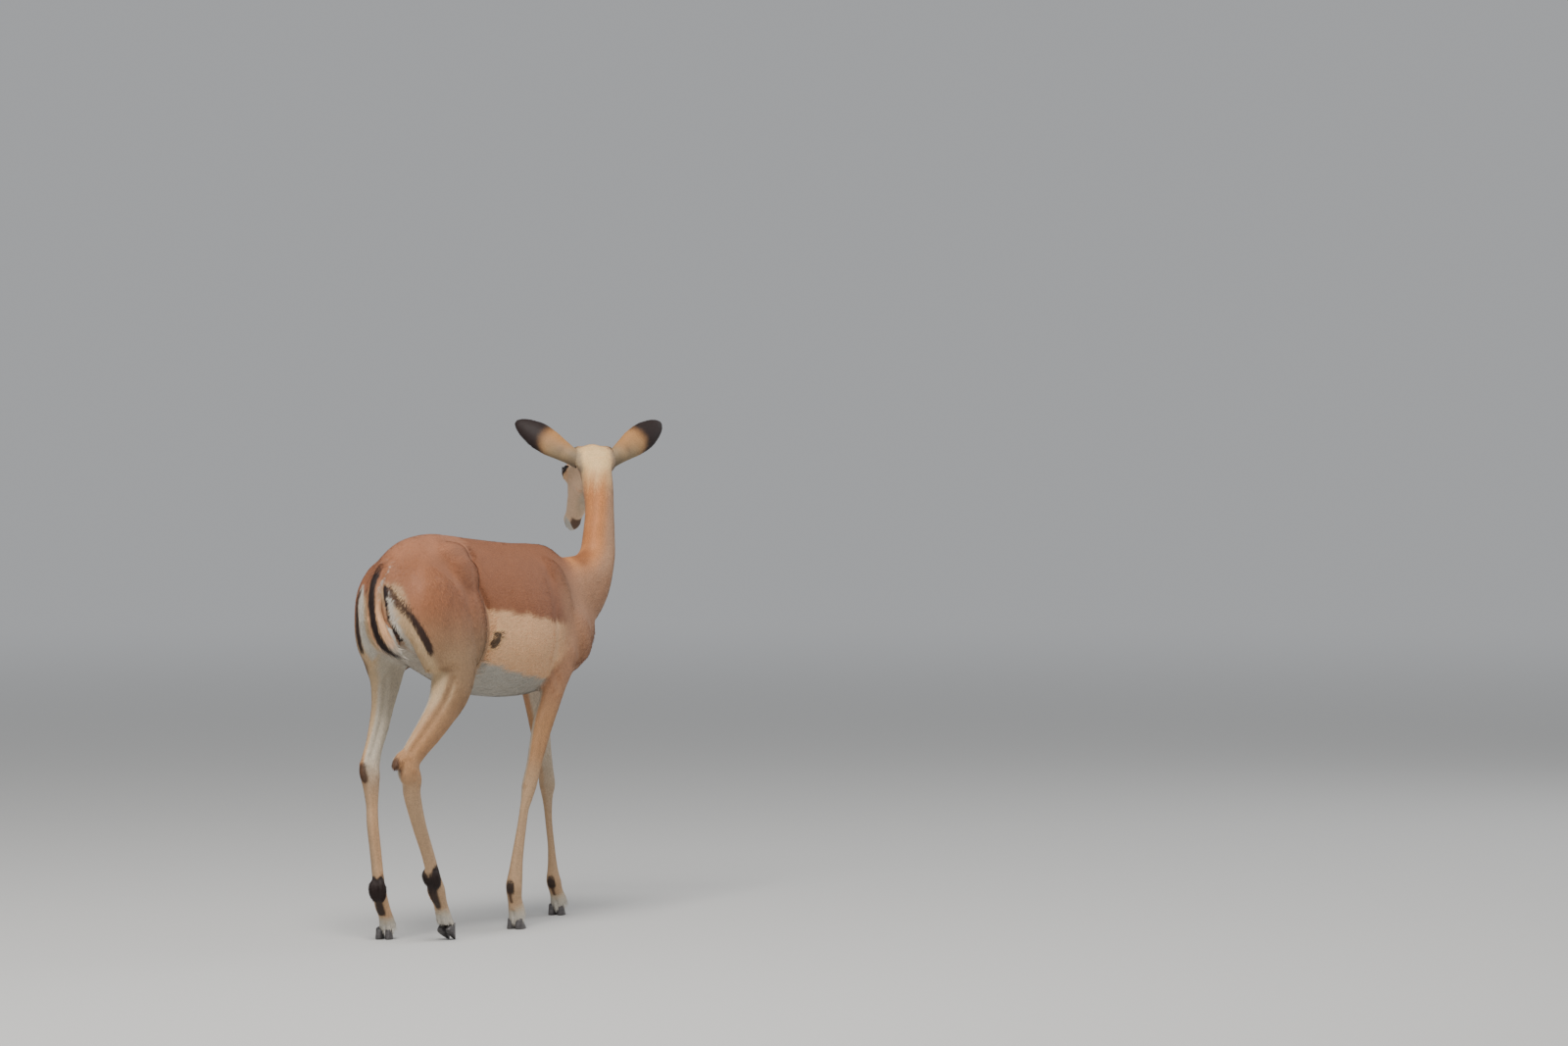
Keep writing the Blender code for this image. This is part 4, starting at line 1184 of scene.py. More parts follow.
class Patch(NamedTuple):
    """A marking along a path, with its half width and softness, in tenths of a millimetre."""

    path: tuple[Row, ...]
    width: float
    soft: float

    def on(self, at: Array) -> Array:
        """How strongly it shows at places given as its path is."""
        width, edge = metres((self.width, self.width + self.soft))
        return ease(off_path(at, metres(self.path), edge + 0.004), edge, width)


def either(pair: tuple[Patch, ...], at: Array) -> Array:
    """How strongly one or the other of two markings shows."""
    return np.maximum(pair[0].on(at), pair[1].on(at))


RUMP_STRIPES = (  # on the right, and on the left
    Patch(((-3973, -232, 7486), (-3942, -427, 7224), (-3879, -627, 6987), (-3825, -772, 6737),
           (-3752, -865, 6549), (-3651, -922, 6359), (-3560, -944, 6200)), 66, 36),
    Patch(((-3720, 700, 7450), (-3760, 760, 7216), (-3810, 725, 6953), (-3779, 738, 6644),
           (-3751, 730, 6397), (-3640, 735, 6180)), 50, 40),
)
# black skin beside the tail, darkened further as painted shade in the gap between the tail and the
# buttock
TAIL_SLIT_SKIN_AND_SHADE = (  # beside the tail
    Patch(((-4006, -109, 7500), (-4027, -145, 7287), (-4036, -180, 7086), (-4022, -220, 6815),
           (-3983, -294, 6652), (-3866, -340, 6473), (-3779, -365, 6387)), 42, 16),
    Patch(((-3800, 520, 7540), (-3920, 455, 7349), (-4000, 360, 7150)), 28, 22),
)
RUMP_WHITES = (
    Patch(((-3994, -205, 7465), (-4013, -265, 7243), (-4010, -318, 7000), (-3970, -368, 6734),
           (-3860, -430, 6527), (-3700, -455, 6337), (-3400, -400, 6100)), 46, 50),
    Patch(((-3711, 660, 7462), (-3865, 593, 7162), (-3885, 581, 6856), (-3786, 600, 6544),
           (-3660, 560, 6280), (-3400, 530, 6060)), 60, 60),
)
RUMP_CREAMS = (
    Patch(((-3985, -260, 7360), (-3960, -400, 7000), (-3870, -560, 6660), (-3700, -650, 6300),
           (-3450, -700, 5900), (-3250, -780, 5500)), 160, 180),
    Patch(((-3900, 450, 7100), (-3880, 500, 6750), (-3760, 560, 6400), (-3500, 640, 6000),
           (-3250, 740, 5500)), 160, 180),
)
SPINE_LINE = Patch(((-3700, 0, 8110), (-3920, 0, 7970)), 22, 30)
# painted shade: a dark pocket in the fold of the flank
FLANK_FOLD_SHADE = Patch(((-745, -960, 6400), (-775, -950, 6290), (-850, -930, 6210)), 92, 30)
HOCKS = (  # left and right
    Patch(((-3670, 700, 3760), (-3700, 670, 3620), (-3640, 665, 3480)), 70, 80),
    Patch(((-4440, -610, 3960), (-4460, -610, 3840), (-4330, -590, 3720)), 70, 80),
)
BELOW_TUFTS = (  # left and right
    Patch(((-3080, 720, 960), (-2940, 740, 760), (-2800, 770, 580)), 75, 60),
    Patch(((-2760, -470, 1140), (-2600, -440, 900), (-2480, -420, 720)), 70, 60),
)
FORE_SPOTS = (  # behind the fetlocks, right and left
    Patch(((385, -500, 980), (400, -490, 860)), 80, 45),
    Patch(((3520, 320, 800), (3560, 320, 690)), 78, 45),
)
FORE_LINES = (  # below those spots
    Patch(((430, -480, 800), (500, -470, 600)), 22, 30),
    Patch(((3600, 320, 620), (3700, 320, 480)), 22, 30),
)
FLANK_RIM = FLANK_FOLD_SHADE._replace(width=130, soft=40)
# the next three lie ahead, to the side and up the head; the first is painted shade round the root of
# each ear
EAR_ROOT_SHADE = Patch(((300, 420, 40), (40, 400, 100), (-60, 400, -100), (0, 400, -400)), 60, 130)
TEAR = Patch(((1020, 430, 70), (1180, 340, 30), (1360, 290, -10)), 22, 45)
MOUTH = Patch(((2520, 40, -120), (2460, 125, -125), (2320, 185, -135), (2050, 205, -150),
               (1800, 225, -160)), 12, 16)
# painted shade in the corner where the neck meets the withers, on the right side only, given forward,
# left and up
NECK_ROOT_SHADE = Patch(((3450, -560, 8000), (3700, -400, 8100)), 120, 240)
CREASE = (  # height, and how far ahead the thigh ends there
    (0.55, 0.58, 0.61, 0.65, 0.685, 0.71, 0.74, 0.76, 0.79, 0.83),
    (-0.103, -0.099, -0.096, -0.097, -0.102, -0.113, -0.124, -0.126, -0.116, -0.106))
WHITE_TOP = (  # how far ahead, and the height of the white there
    (-0.16, -0.089, -0.027, 0.044, 0.115, 0.18, 0.3),
    (0.604, 0.5836, 0.564, 0.551, 0.541, 0.533, 0.535))
EAR_TIP = ((-1, -0.4, 0.2, 0.65, 1), (0.49, 0.51, 0.52, 0.48, 0.42))  # across, where black starts


class Layers:
    """Colours laid one over another, as rows of linear red, green and blue."""

    def __init__(self, base: Colour, count: int) -> None:
        """Starts with one colour everywhere.

        Args:
            base: the lowest colour, in display values.
            count: how many places there are.
        """
        self.rows = np.tile(shade(*base), (count, 1))

    def lay(self, over: "Colour | Layers", share: Array) -> None:
        """Lays a colour over all that lies there.

        Args:
            over: one colour in display values, or other layers.
            share: how much of it shows at each place.
        """
        top = over.rows if isinstance(over, Layers) else shade(*over)
        self.rows = self.rows + (top - self.rows) * np.asarray(share)[:, None]


@dataclass(frozen=True)
class Markings:
    """The colours of the coat in display values, and where each of them lies."""

    saddle: Colour = (154, 99, 68)
    haunch: Colour = (164, 108, 76)
    thigh: Colour = (166, 133, 100)
    flank: Colour = (236, 187, 141)
    shoulder: Colour = (184, 135, 102)
    belly: Colour = (208, 201, 188)
    # painted light: the haunch made lighter along the top of the rump, as if lit from above
    lit_rump_top: Colour = (180, 122, 90)
    # painted shade: the belly's white, darkened as if in shadow
    belly_in_shade: Colour = (182, 176, 164)
    cream: Colour = (213, 183, 143)
    nape: Colour = (209, 138, 85)
    neck: Colour = (191, 148, 115)
    throat: Colour = (209, 185, 153)
    crown: Colour = (255, 214, 152)
    rufous: Colour = (150, 92, 56)
    shank: Colour = (190, 143, 101)
    cannon: Colour = (200, 165, 129)
    # painted shade round the roots of the ears
    ear_root_shade: Colour = (146, 130, 110)
    inner: Colour = (206, 194, 174)
    face: Colour = (246, 206, 168)
    brow: Colour = (172, 121, 86)
    black: Colour = (44, 32, 30)
    umber: Colour = (82, 54, 40)
    slate: Colour = (74, 68, 64)
    ear_grey: Colour = (160, 138, 106)
    ear_tan: Colour = (190, 137, 84)

    def trunk(self, sites: Sites) -> Layers:
        """Saddle, flank band, white belly darkened by painted shade, haunch with painted light along
        the top of the rump, and shoulder.
        """
        f, l, u = sites.at.T
        side = np.abs(l + 0.012 * ease(f, 0.0, 0.2))
        wave = 0.0022 * np.sin(f * 95.0) + 0.0014 * np.sin(f * 233.0 + u * 60.0)
        back, front = ease(f - np.interp(u, *CREASE), -0.014, 0.004), ease(f, 0.235, 0.15)
        coat = Layers(self.saddle, len(f))
        coat.lay(self.haunch, (1 - back) * ease(u, 0.84, 0.74))
        # painted light along the top of the rump
        coat.lay(self.lit_rump_top, (1 - back) * ease(u, 0.79, 0.835) * 0.9)
        coat.lay(self.thigh, (1 - back) * ease(u, 0.73, 0.59))
        coat.lay(self.shoulder, (1 - ease(f, 0.225, 0.15)) * ease(u, 0.81, 0.7))
        line = 0.683 - 0.148 * f + wave
        coat.lay(self.flank, ease(line - u, -0.0045, 0.006) * back * front)
        low = np.interp(f, *WHITE_TOP) + 0.7 * wave
        chest = ease(sites.facing[:, 2], -0.35, -0.8) * ease(f, 0.15, 0.2)
        white = ease(low - u, -0.004, 0.005) * np.maximum(ease(f, 0.215, 0.165), chest)
        # the white of the belly, laid in its darker copy as painted shade
        coat.lay(self.belly_in_shade, white * back)
        groin = ease(side, 0.075, 0.045) * ease(f, -0.15, -0.2) * ease(u, 0.655, 0.6)
        coat.lay(self.belly, groin * ease(sites.facing[:, 0], -0.75, -0.2))
        return coat

    def limbs(self, coat: Layers, sites: Sites) -> None:
        """Fawn outside, pale inside, cream down the rear edge of the gaskins."""
        u = sites.at[:, 2]
        rearward = ease(-sites.facing[:, 0], 0.55, 0.9)
        for region, hand in HINDS + FORES:
            hind = (region, hand) in HINDS
            leg = Layers(self.shank, len(u))
            leg.lay(self.cannon, ease(u, 0.4, 0.3))
            leg.lay(self.thigh if hind else self.shoulder, ease(u, 0.42, 0.56))
            inward = ease(-sites.facing[:, 1] * hand, 0.05, 0.6)
            if hind:
                leg.lay(self.cream, rearward * ease(u, 0.37, 0.42) * 0.8 * ease(u, 0.66, 0.58))
                leg.lay(self.inner, inward * ease(u, 0.28, 0.4))
                leg.lay(self.flank, 0.5 * inward * ease(u, 0.4, 0.28))
            else:
                leg.lay(self.inner, inward * ease(u, 0.18, 0.4) * 0.8)
            coat.lay(leg, ease(sites.of(region) * ease(u, 0.66, 0.54), 0.15, 0.75))

    def rump(self, coat: Layers, sites: Sites) -> None:
        """Cream buttocks with a dark stripe down each, and white below the tail."""
        at = sites.at
        off_tail = 1 - ease(sites.of(Region.TAIL), 0.35, 0.65)
        coat.lay(self.cream, 0.85 * off_tail * either(RUMP_CREAMS, at))
        coat.lay(self.belly, off_tail * either(RUMP_WHITES, at))
        stripe = either(RUMP_STRIPES, at) * off_tail
        coat.lay(self.umber, 0.95 * stripe)
        coat.lay(self.black, 0.75 * stripe ** 3 * ease(at[:, 2], 0.725, 0.69))
        below = ease(np.abs(at[:, 1]), 0.04, 0.012) * ease(at[:, 0], -0.3, -0.35) \
            * ease(at[:, 2], 0.655, 0.62)
        coat.lay(self.belly, off_tail * below)

    def tail(self, coat: Layers, sites: Sites) -> None:
        """A dark line down a tail that ends in a white fringe, and the slits beside it, black skin
        darkened further by painted shade.
        """
        weight = sites.of(Region.TAIL)
        rear = np.abs(np.abs(sites.round) - math.pi)  # 0 along the middle of its back
        tail = Layers(self.haunch, len(rear))
        tail.lay(self.flank, ease(sites.share, 0.2, 0.5))
        tail.lay(self.belly, ease(sites.share, 0.6, 0.85))
        tail.lay(self.belly, ease(rear, 1.7, 2.4))
        tail.lay(self.black, ease(rear, 0.75, 0.35) * ease(sites.share, 0.1, 0.22))
        coat.lay(tail, ease(weight, 0.3, 0.6))
        # black skin in the slits, with painted shade
        coat.lay(self.black, either(TAIL_SLIT_SKIN_AND_SHADE, sites.at))
        coat.lay(self.umber, SPINE_LINE.on(sites.at) * (1 - weight))

    def neck_and_crown(self, coat: Layers, sites: Sites) -> None:
        """A rufous nape between paler sides, a pale throat, a cream crown, and painted shade where
        the neck meets the withers.
        """
        left, u = sites.at[:, 1], sites.at[:, 2]
        back = np.cos(sites.round)
        neck = Layers(self.neck, len(u))
        neck.lay(self.nape, ease(back, 0.25, 0.95))
        neck.lay(self.rufous, 0.2 * ease(back, 0.965, 0.998))
        neck.lay(self.throat, ease(back, -0.35, -0.9))
        neck.lay(self.belly, ease(back, -0.6, -0.95) * ease(u, 0.9, 0.96))
        uneven = u + 0.006 * np.sin(left * 310.0) + 0.004 * np.sin(left * 710.0)
        neck.lay(self.crown, ease(uneven, 0.925, 1.015) * ease(back, -0.2, 0.4))
        neck.lay(self.shoulder, ease(u, 0.8, 0.72) * 0.8)
        coat.lay(neck, ease(sites.of(Region.NECK), 0.25, 0.75))
        # painted shade where the neck meets the withers
        coat.lay(self.rufous, 0.75 * NECK_ROOT_SHADE.on(sites.at))

    def head(self, coat: Layers, sites: Sites) -> None:
        """A fawn face with a darker bridge, pale rings round the eyes, a white chin, a black nose,
        painted shade under the chin and round the roots of the ears.
        """
        spot = off_head(sites.at)
        spot[:, 1] = np.abs(spot[:, 1])
        a, s, t = spot.T
        face = Layers(self.face, len(a))
        face.lay(self.brow, 0.85 * ease(t, 0.012, 0.032) * ease(s, 0.028, 0.008)
                 * ease(a, 0.02, 0.085) * ease(a, 0.235, 0.15))
        face.lay(self.crown, ease(a, 0.05, 0.015) * ease(t, -0.02, 0.02))
        face.lay(self.throat, 0.7 * ease(t, -0.02, -0.045) * ease(a, 0.22, 0.16)
                 * ease(s, 0.026, 0.012))
        face.lay(self.belly, ease(a, 0.208, 0.218) * ease(t, 0.004, -0.008) * ease(s, 0.004, 0.01))
        face.lay(self.inner, 0.6 * ease(t, -0.03, -0.05) * ease(a, 0.02, 0.06)
                 * ease(s, 0.024, 0.012))
        past = a - (0.213 + 1.6 * np.maximum(0.0, 0.012 - s))  # past where the chin starts
        # painted shade on the underside of the jaw, behind the white chin
        under = ease(a, 0.19, 0.199) * ease(past, 0.003, -0.003) * ease(t, -0.019, -0.027)
        face.lay(self.belly, ease(past, -0.002, 0.003) * ease(t, -0.016, -0.024))
        face.lay(self.umber, 0.9 * under * ease(s, 0.02, 0.012))
        levels = [Eye(hand).level(sites.at) for hand in HANDS]
        for level in levels:
            face.lay(self.crown, level.near * ease(level.opening, 2.4, 0.9)
                     * (0.5 + 0.4 * ease(level.rise, -0.2, 0.4)))
        face.lay(self.umber, 0.35 * TEAR.on(spot))
        for level in levels:
            rim = 0.34 + 1.5 * ease(level.along, -0.35, -0.8)
            face.lay(self.black, level.near * ease(level.opening, rim, rim - 0.18))
        nose = ease(a, 0.236, 0.243) * ease(t, -0.0105, -0.007)
        wing = ease(a, 0.226, 0.234) * ease(t, 0.0045, 0.0075) * ease(s, 0.019, 0.015)
        face.lay(self.black, np.maximum(nose, wing))
        face.lay(self.belly, ease(a, 0.235, 0.242) * ease(t, -0.0125, -0.015))
        face.lay(self.umber, 0.85 * MOUTH.on(spot))
        coat.lay(face, ease(sites.of(Region.HEAD), 0.3, 0.7))
        cap = ease(sites.at[:, 2], 0.98, 1.000) * ease(a, 0.05, 0.02) * ease(s, 0.034, 0.022)
        coat.lay(self.crown, cap * ease(a, -0.09, -0.06))
        # painted shade round the roots of the ears
        coat.lay(self.ear_root_shade, 0.85 * EAR_ROOT_SHADE.on(spot))

    def feet(self, coat: Layers, sites: Sites) -> None:
        """Dark hock points, black below the tufts and behind the fetlocks, white over the hooves."""
        at, scene = sites.at, in_scene(sites.at)
        for patch in HOCKS:
            coat.lay(self.umber, 0.9 * patch.on(at))
        for claws in FEET:
            _, _, height, off = claws.over_coronet(scene)
            near = off < FOOT_REACH
            coat.lay(self.inner, near * ease(height, 0.034, 0.016))
            coat.lay(self.belly, near * ease(height, 0.02, 0.009))
        for patch in BELOW_TUFTS + FORE_SPOTS:
            coat.lay(self.black, 0.95 * patch.on(at))
        for patch in FORE_LINES:
            coat.lay(self.umber, 0.8 * patch.on(at))
        for core in TUFT_CORES:
            coat.lay(self.black, ease(core.out(at), 1.45, 1.2))

    def colour(self, sites: Sites) -> Array:
        """The coat's colour at each place, as linear red, green and blue."""
        coat = self.trunk(sites)
        for region in (self.limbs, self.rump, self.tail, self.neck_and_crown, self.head, self.feet):
            region(coat, sites)
        side = sites.at.copy()
        side[:, 1] = -np.abs(side[:, 1])
        # a pale rim round painted shade in the fold of the flank, on both sides
        coat.lay(self.crown, 0.35 * FLANK_RIM.on(side))
        coat.lay(self.black, 0.92 * FLANK_FOLD_SHADE.on(side))
        return coat.rows

    def ear(self, across: Array, reach: Array, inside: Array) -> Array:
        """The colour of an ear, with painted shade near its root.

        Args:
            across: from -1 at the upper edge to 1 at the lower.
            reach: from 0 at the root to 1 at the tip.
            inside: 1 on the open side and 0 on the back.

        Returns:
            Rows of linear red, green and blue.
        """
        ear = Layers(self.ear_grey, len(across))
        ear.lay(self.ear_tan, ease(across, 0.55, -0.55) * ease(reach, 0.05, 0.3))
        ear.lay(self.ear_tan, 0.5 * ease(reach, 0.3, 0.46))
        # painted shade near the root of the ear
        ear.lay(self.slate, 0.4 * ease(reach, 0.2, 0.06) * ease(across, -0.5, 0.2))
        smudge = np.exp(-((reach - 0.27) / 0.05) ** 2 - ((across - 0.15) / 0.3) ** 2)
        ear.lay(self.slate, 0.35 * smudge)
        ear.lay(self.belly, 0.85 * inside * ease(reach, 0.08, 0.18))
        bands = np.abs(np.sin(across * 5.2 + 0.4))
        ear.lay(self.slate, 0.55 * inside * ease(bands, 0.35, 0.05) * ease(reach, 0.15, 0.3))
        past = reach - np.interp(across, *EAR_TIP)
        ear.lay(self.umber, 0.45 * ease(past, -0.085, 0.0))
        tip = ease(past, -0.045, 0.055)
        rim = np.maximum(ease(reach, 0.86, 0.95), ease(np.abs(across), 0.7, 0.88))
        ear.lay(self.black, np.where(inside > 0.5, tip * rim, tip))
        return ear.rows


# ---------------- the coat
class Lie(NamedTuple):
    """How the tufts of a place look."""

    length: Array
    width: Array
    lift: Array  # how steeply each leaves the hide, in radians
    crowd: Array  # tufts a square metre


@dataclass
class Tufts:
    """Roots on the hide, with each tuft's direction, size, colour and place on the unwrap."""

    root: Array
    facing: Array
    way: Array
    lie: Lie
    colour: Array
    chart: Array  # the root's place on the unwrap of its own region
    region: Array

    def part(self, keep: Array) -> "Tufts":
        """The tufts that keep picks."""
        lie = Lie(*(values[keep] for values in self.lie))
        return Tufts(self.root[keep], self.facing[keep], self.way[keep], lie, self.colour[keep],
                     self.chart[keep], self.region[keep])


@dataclass
class Coat:
    """Short fur that lies on the hide, as thin pointed tufts."""

    forms: list[Form]
    markings: Markings
    seed: int = 5
    piece_limit: int = 60000  # tufts in one piece
    ear_tufts: int = 21000  # tufts on one ear
    patch: float = 0.003  # a tuft's size on the unwrap
    sink: float = 0.0005  # how deep a tuft's root lies in the hide
    fullness: float = 2.3  # how many tufts lie over one place

    def lie(self, sites: Sites) -> Lie:
        """The tufts' sizes over the body."""
        at = sites.at
        length = np.full(len(at), 0.0125)
        lift = np.full(len(at), math.radians(3.6))
        low = ease(at[:, 2], 0.44, 0.3)
        length = mixed(length, 0.008, low)
        limb = sites.of(Region.HIND_LEFT, Region.HIND_RIGHT, Region.FORE_LEFT, Region.FORE_RIGHT)
        lift = lift * (1 - low * limb) + math.radians(5) * low * limb
        head, tail = sites.of(Region.HEAD), sites.of(Region.TAIL)
        spot = off_head(at)
        muzzle = ease(spot[:, 0], 0.12, 0.22)
        length = length - 0.0045 * ease(at[:, 2], 0.93, 0.99) * (1 - head)
        length = length * (1 - head) + mixed(0.0065, 0.0038, muzzle) * head
        for pair, longer, steeper in ((RUMP_WHITES, 0.0125, 5), (RUMP_CREAMS, 0.013, 6),
                                      (RUMP_STRIPES, 0.0125, 6)):
            share = either(pair, at)
            length = np.maximum(length, longer * share)
            lift = np.maximum(lift, math.radians(steeper) * share)
        length = np.maximum(length, tail * (0.013 + 0.013 * sites.share))
        lift = np.maximum(lift, math.radians(7) * tail)
        under = ease(sites.facing[:, 2], -0.3, -0.8) * ease(at[:, 2], 0.45, 0.5) * (1 - head)
        length = length + 0.004 * under
        for core in TUFT_CORES:
            share = ease(core.out(at), 1.5, 1.2)
            length = np.maximum(length, 0.0115 * share)
            lift = np.maximum(lift, math.radians(7) * share)
        scene, foot, bare = in_scene(at), np.zeros(len(at)), np.zeros(len(at))
        hang = np.full(len(at), 0.0105)
        for claws in FEET:
            _, _, height, off = claws.over_coronet(scene)
            near = off < FOOT_REACH
            foot = np.maximum(foot, near * ease(height, 0.016, 0.008))
            hang = np.where(near & (claws.pitch == 0), 0.0165, hang)
            bare = np.maximum(bare, near * ease(height, 0.0004, -0.0004))
        length, lift = mixed(length, hang, foot), mixed(lift, math.radians(11), foot)
        width = 0.0001 + 0.052 * np.minimum(length, 0.0125)
        for hand in HANDS:
            bare = np.maximum(bare, Eye(hand).level(at).opening < 0.1)
        nose = ease(spot[:, 0], 0.234, 0.24) * ease(spot[:, 2], -0.0115, -0.0085) * head
        crowd = self.fullness / (length * width) * (1 - np.maximum(bare, nose > 0.5))
        return Lie(length, width, lift, crowd)

    def on_hide(self, mesh: Mesh, rng: Random) -> Tufts:
        """Scatters roots over the hide, as many to each place as its crowd says."""
        mesh.calc_loop_triangles()
        faces = np.empty(len(mesh.loop_triangles) * 3, np.int32)
        mesh.loop_triangles.foreach_get("vertices", faces)
        faces = faces.reshape(-1, 3)
        sites = survey(self.forms, *places_on(mesh))
        a, b, c = (sites.at[faces[:, i]] for i in range(3))
        area = np.linalg.norm(np.cross(b - a, c - a), axis=1) / 2
        wanted = area * self.lie(sites).crowd[faces].mean(1)
        count = np.floor(wanted + rng.random(len(wanted))).astype(int)
        pick = np.repeat(np.arange(len(faces)), count)
        share = rng.random((len(pick), 2))
        share = np.where(share.sum(1, keepdims=True) > 1, 1 - share, share)
        share = np.column_stack([1 - share.sum(1), share])[:, :, None]
        corner = faces[pick]
        root = (sites.at[corner] * share).sum(1)
        out = unit((sites.facing[corner] * share).sum(1))
        lead = corner[np.arange(len(corner)), share[:, :, 0].argmax(1)]
        way = unit((sites.way[corner] * share).sum(1))
        here = Sites(root, out, (sites.belongs[corner] * share).sum(1), way, sites.round[lead],
                     sites.share[lead], sites.owner[lead])
        chart = np.stack([here.round / (2 * math.pi) + 0.5, here.share], 1)
        chart += 0.004 * (rng.random(chart.shape) - 0.5)
        return Tufts(root, out, way, self.lie(here), self.markings.colour(here), chart, here.owner)

    def on_ear(self, ear: Ear, rng: Random) -> Tufts:
        """Tufts over both faces of an ear, with a fringe along its rim."""
        wanted, step = self.ear_tufts, 0.004
        across = rng.uniform(-1.0, 1.0, wanted)
        reach = rng.uniform(0.02, 0.995, wanted)
        inside = rng.random(wanted) < 0.4
        fringe = rng.random(wanted) < 0.1
        hand = np.sign(across)
        across = np.where(fringe, hand * rng.uniform(0.93, 1.0, wanted), across)
        here = ear.surface(across, reach)
        ahead = ear.surface(across, np.minimum(reach + step, 1.0))
        along = unit(ahead - ear.surface(across, reach - step))
        over = unit(ear.surface(across + step, reach) - ear.surface(across - step, reach))
        out = unit(np.cross(along, over))
        away = here - (ear.surface(np.zeros(wanted), reach) + ear.axes()[1] * 0.02)
        out = out * np.sign((out * away).sum(1))[:, None]
        out = np.where(inside[:, None], -out, out)
        way = unit(along * 0.95 + over * (0.3 * hand * np.abs(across))[:, None])
        way = np.where(fringe[:, None], unit(along * 0.8 + over * hand[:, None] * 0.6), way)
        length = np.where(inside, rng.uniform(0.007, 0.013, wanted), 0.0062)
        length = length * (1 - 0.45 * ease(reach, 0.7, 0.92))
        lift = np.where(inside, math.radians(13), math.radians(5))
        colour = self.markings.ear(across * ear.hand, reach, inside.astype(float))
        chart = np.stack([(across + 1) / 4 + 0.5 * inside, reach], 1)
        return Tufts(here + out * ear.thickness / 2, out, way,
                     Lie(length, 0.0002 + 0.06 * length, lift, length), colour, chart,
                     np.full(wanted, Region.HEAD.value))

    def lashes(self) -> Tufts:
        """A row of dark lashes on each upper lid."""
        rng = np.random.default_rng(self.seed + 1)
        roots, outs, ways = [], [], []
        for hand in HANDS:
            eye = Eye(hand)
            out, ahead, up = eye.axes()
            for turn in np.linspace(-0.8, 0.7, 70):
                along = eye.half_length * turn
                rise = eye.upper * math.sqrt(max(1.14 - abs(turn) ** 1.8, 0.0))
                way = unit(out * math.cos(along) * math.cos(rise) + ahead * math.sin(along)
                           + up * math.sin(rise) * math.cos(along))
                roots.append(eye.centre() + way * (EYE_RADIUS + 0.0008))
                outs.append(up)
                ways.append(unit(out * 0.9 + up * 0.1 + ahead * (turn * 0.5)
                                 + rng.normal(0, 0.06, 3)))
        count = len(roots)
        lie = Lie(rng.uniform(0.0034, 0.0056, count), np.full(count, 0.0004),
                  np.full(count, math.radians(14)), np.ones(count))
        black = np.tile(shade(*self.markings.black) * 0.6, (count, 1))
        return Tufts(np.array(roots), np.array(outs), np.array(ways), lie, black,
                     np.full((count, 2), 0.5), np.full(count, Region.HEAD.value))

    def blades(self, name: str, tufts: Tufts, rng: Random) -> Object:
        """One piece of the coat.

        Args:
            name: the piece's name.
            tufts: its tufts.
            rng: the source of their small differences.

        Returns:
            The piece, which rides on the body.
        """
        count = len(tufts.root)
        corners_each, loops_each = 5, 7  # a four-sided root and a three-sided tip
        length = (tufts.lie.length * rng.uniform(0.72, 1.22, count))[:, None]
        half = (tufts.lie.width * rng.uniform(0.75, 1.2, count) / 2)[:, None]
        turn = rng.normal(0.0, 0.1, count)[:, None]
        roll = rng.normal(0.0, 0.22, count)[:, None]
        lift = (tufts.lie.lift * rng.uniform(0.55, 1.45, count))[:, None]
        over = np.cross(tufts.facing, tufts.way)
        way = tufts.way * np.cos(turn) + over * np.sin(turn)
        over = np.cross(tufts.facing, way)
        wide = over * np.cos(roll) + tufts.facing * np.sin(roll)
        root = tufts.root - tufts.facing * self.sink
        middle = root + way * length * 0.5 + tufts.facing * length * 0.5 * np.sin(lift)
        tip = root + way * length + tufts.facing * length * np.sin(lift) * 0.8
        corners = np.stack([root - wide * half * 0.8, root + wide * half * 0.8,
                            middle - wide * half, middle + wide * half, tip], 1)
        first = np.arange(count)[:, None] * corners_each
        loops = np.concatenate([first + [0, 1, 3, 2], first + [2, 3, 4]], 1).ravel()
        mesh = bpy.data.meshes.new(name)
        mesh.vertices.add(count * corners_each)
        mesh.vertices.foreach_set("co", in_scene(corners).astype(np.float32).ravel())
        mesh.loops.add(count * loops_each)
        mesh.loops.foreach_set("vertex_index", loops.astype(np.int32))
        mesh.polygons.add(count * 2)
        starts = (np.arange(count)[:, None] * loops_each + [0, 4]).ravel()
        mesh.polygons.foreach_set("loop_start", starts.astype(np.int32))
        mesh.polygons.foreach_set("use_smooth", np.ones(count * 2, bool))
        mesh.update(calc_edges=True)
        tone = np.clip(rng.normal(1.0, 0.045, count), 0.72, 1.3)[:, None]
        warm = 1.0 + rng.normal(0.0, 0.02, count)[:, None] * np.array([1.0, 0.0, -1.0])
        base = tufts.colour * tone * warm
        steps = np.array([0.92, 0.92, 1.0, 1.0, 1.03])
        paint(mesh, np.clip(base[:, None, :] * steps[None, :, None], 0, 1).reshape(-1, 3))
        kinds = np.unique(tufts.region)
        column = np.searchsorted(kinds, tufts.region)
        at = np.stack([(column + 0.04 + 0.92 * tufts.chart[:, 0]) / len(kinds),
                       tufts.chart[:, 1]], 1)
        at = 0.01 + 0.975 * np.clip(at, 0.0, 1.0)
        corner = np.array([(0, 0), (1, 0), (0, 0.5), (1, 0.5), (0.5, 1)]) * self.patch
        map_at = (at[:, None, :] + corner[None])[:, [0, 1, 3, 2, 2, 3, 4]]
        layer = mesh.uv_layers.new(name="OFBake")
        layer.uv.foreach_set("vector", map_at.astype(np.float32).ravel())
        made = put_in_scene(name, mesh)
        mesh.materials.append(CoatFinish().material())
        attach(made, "root")
        return made

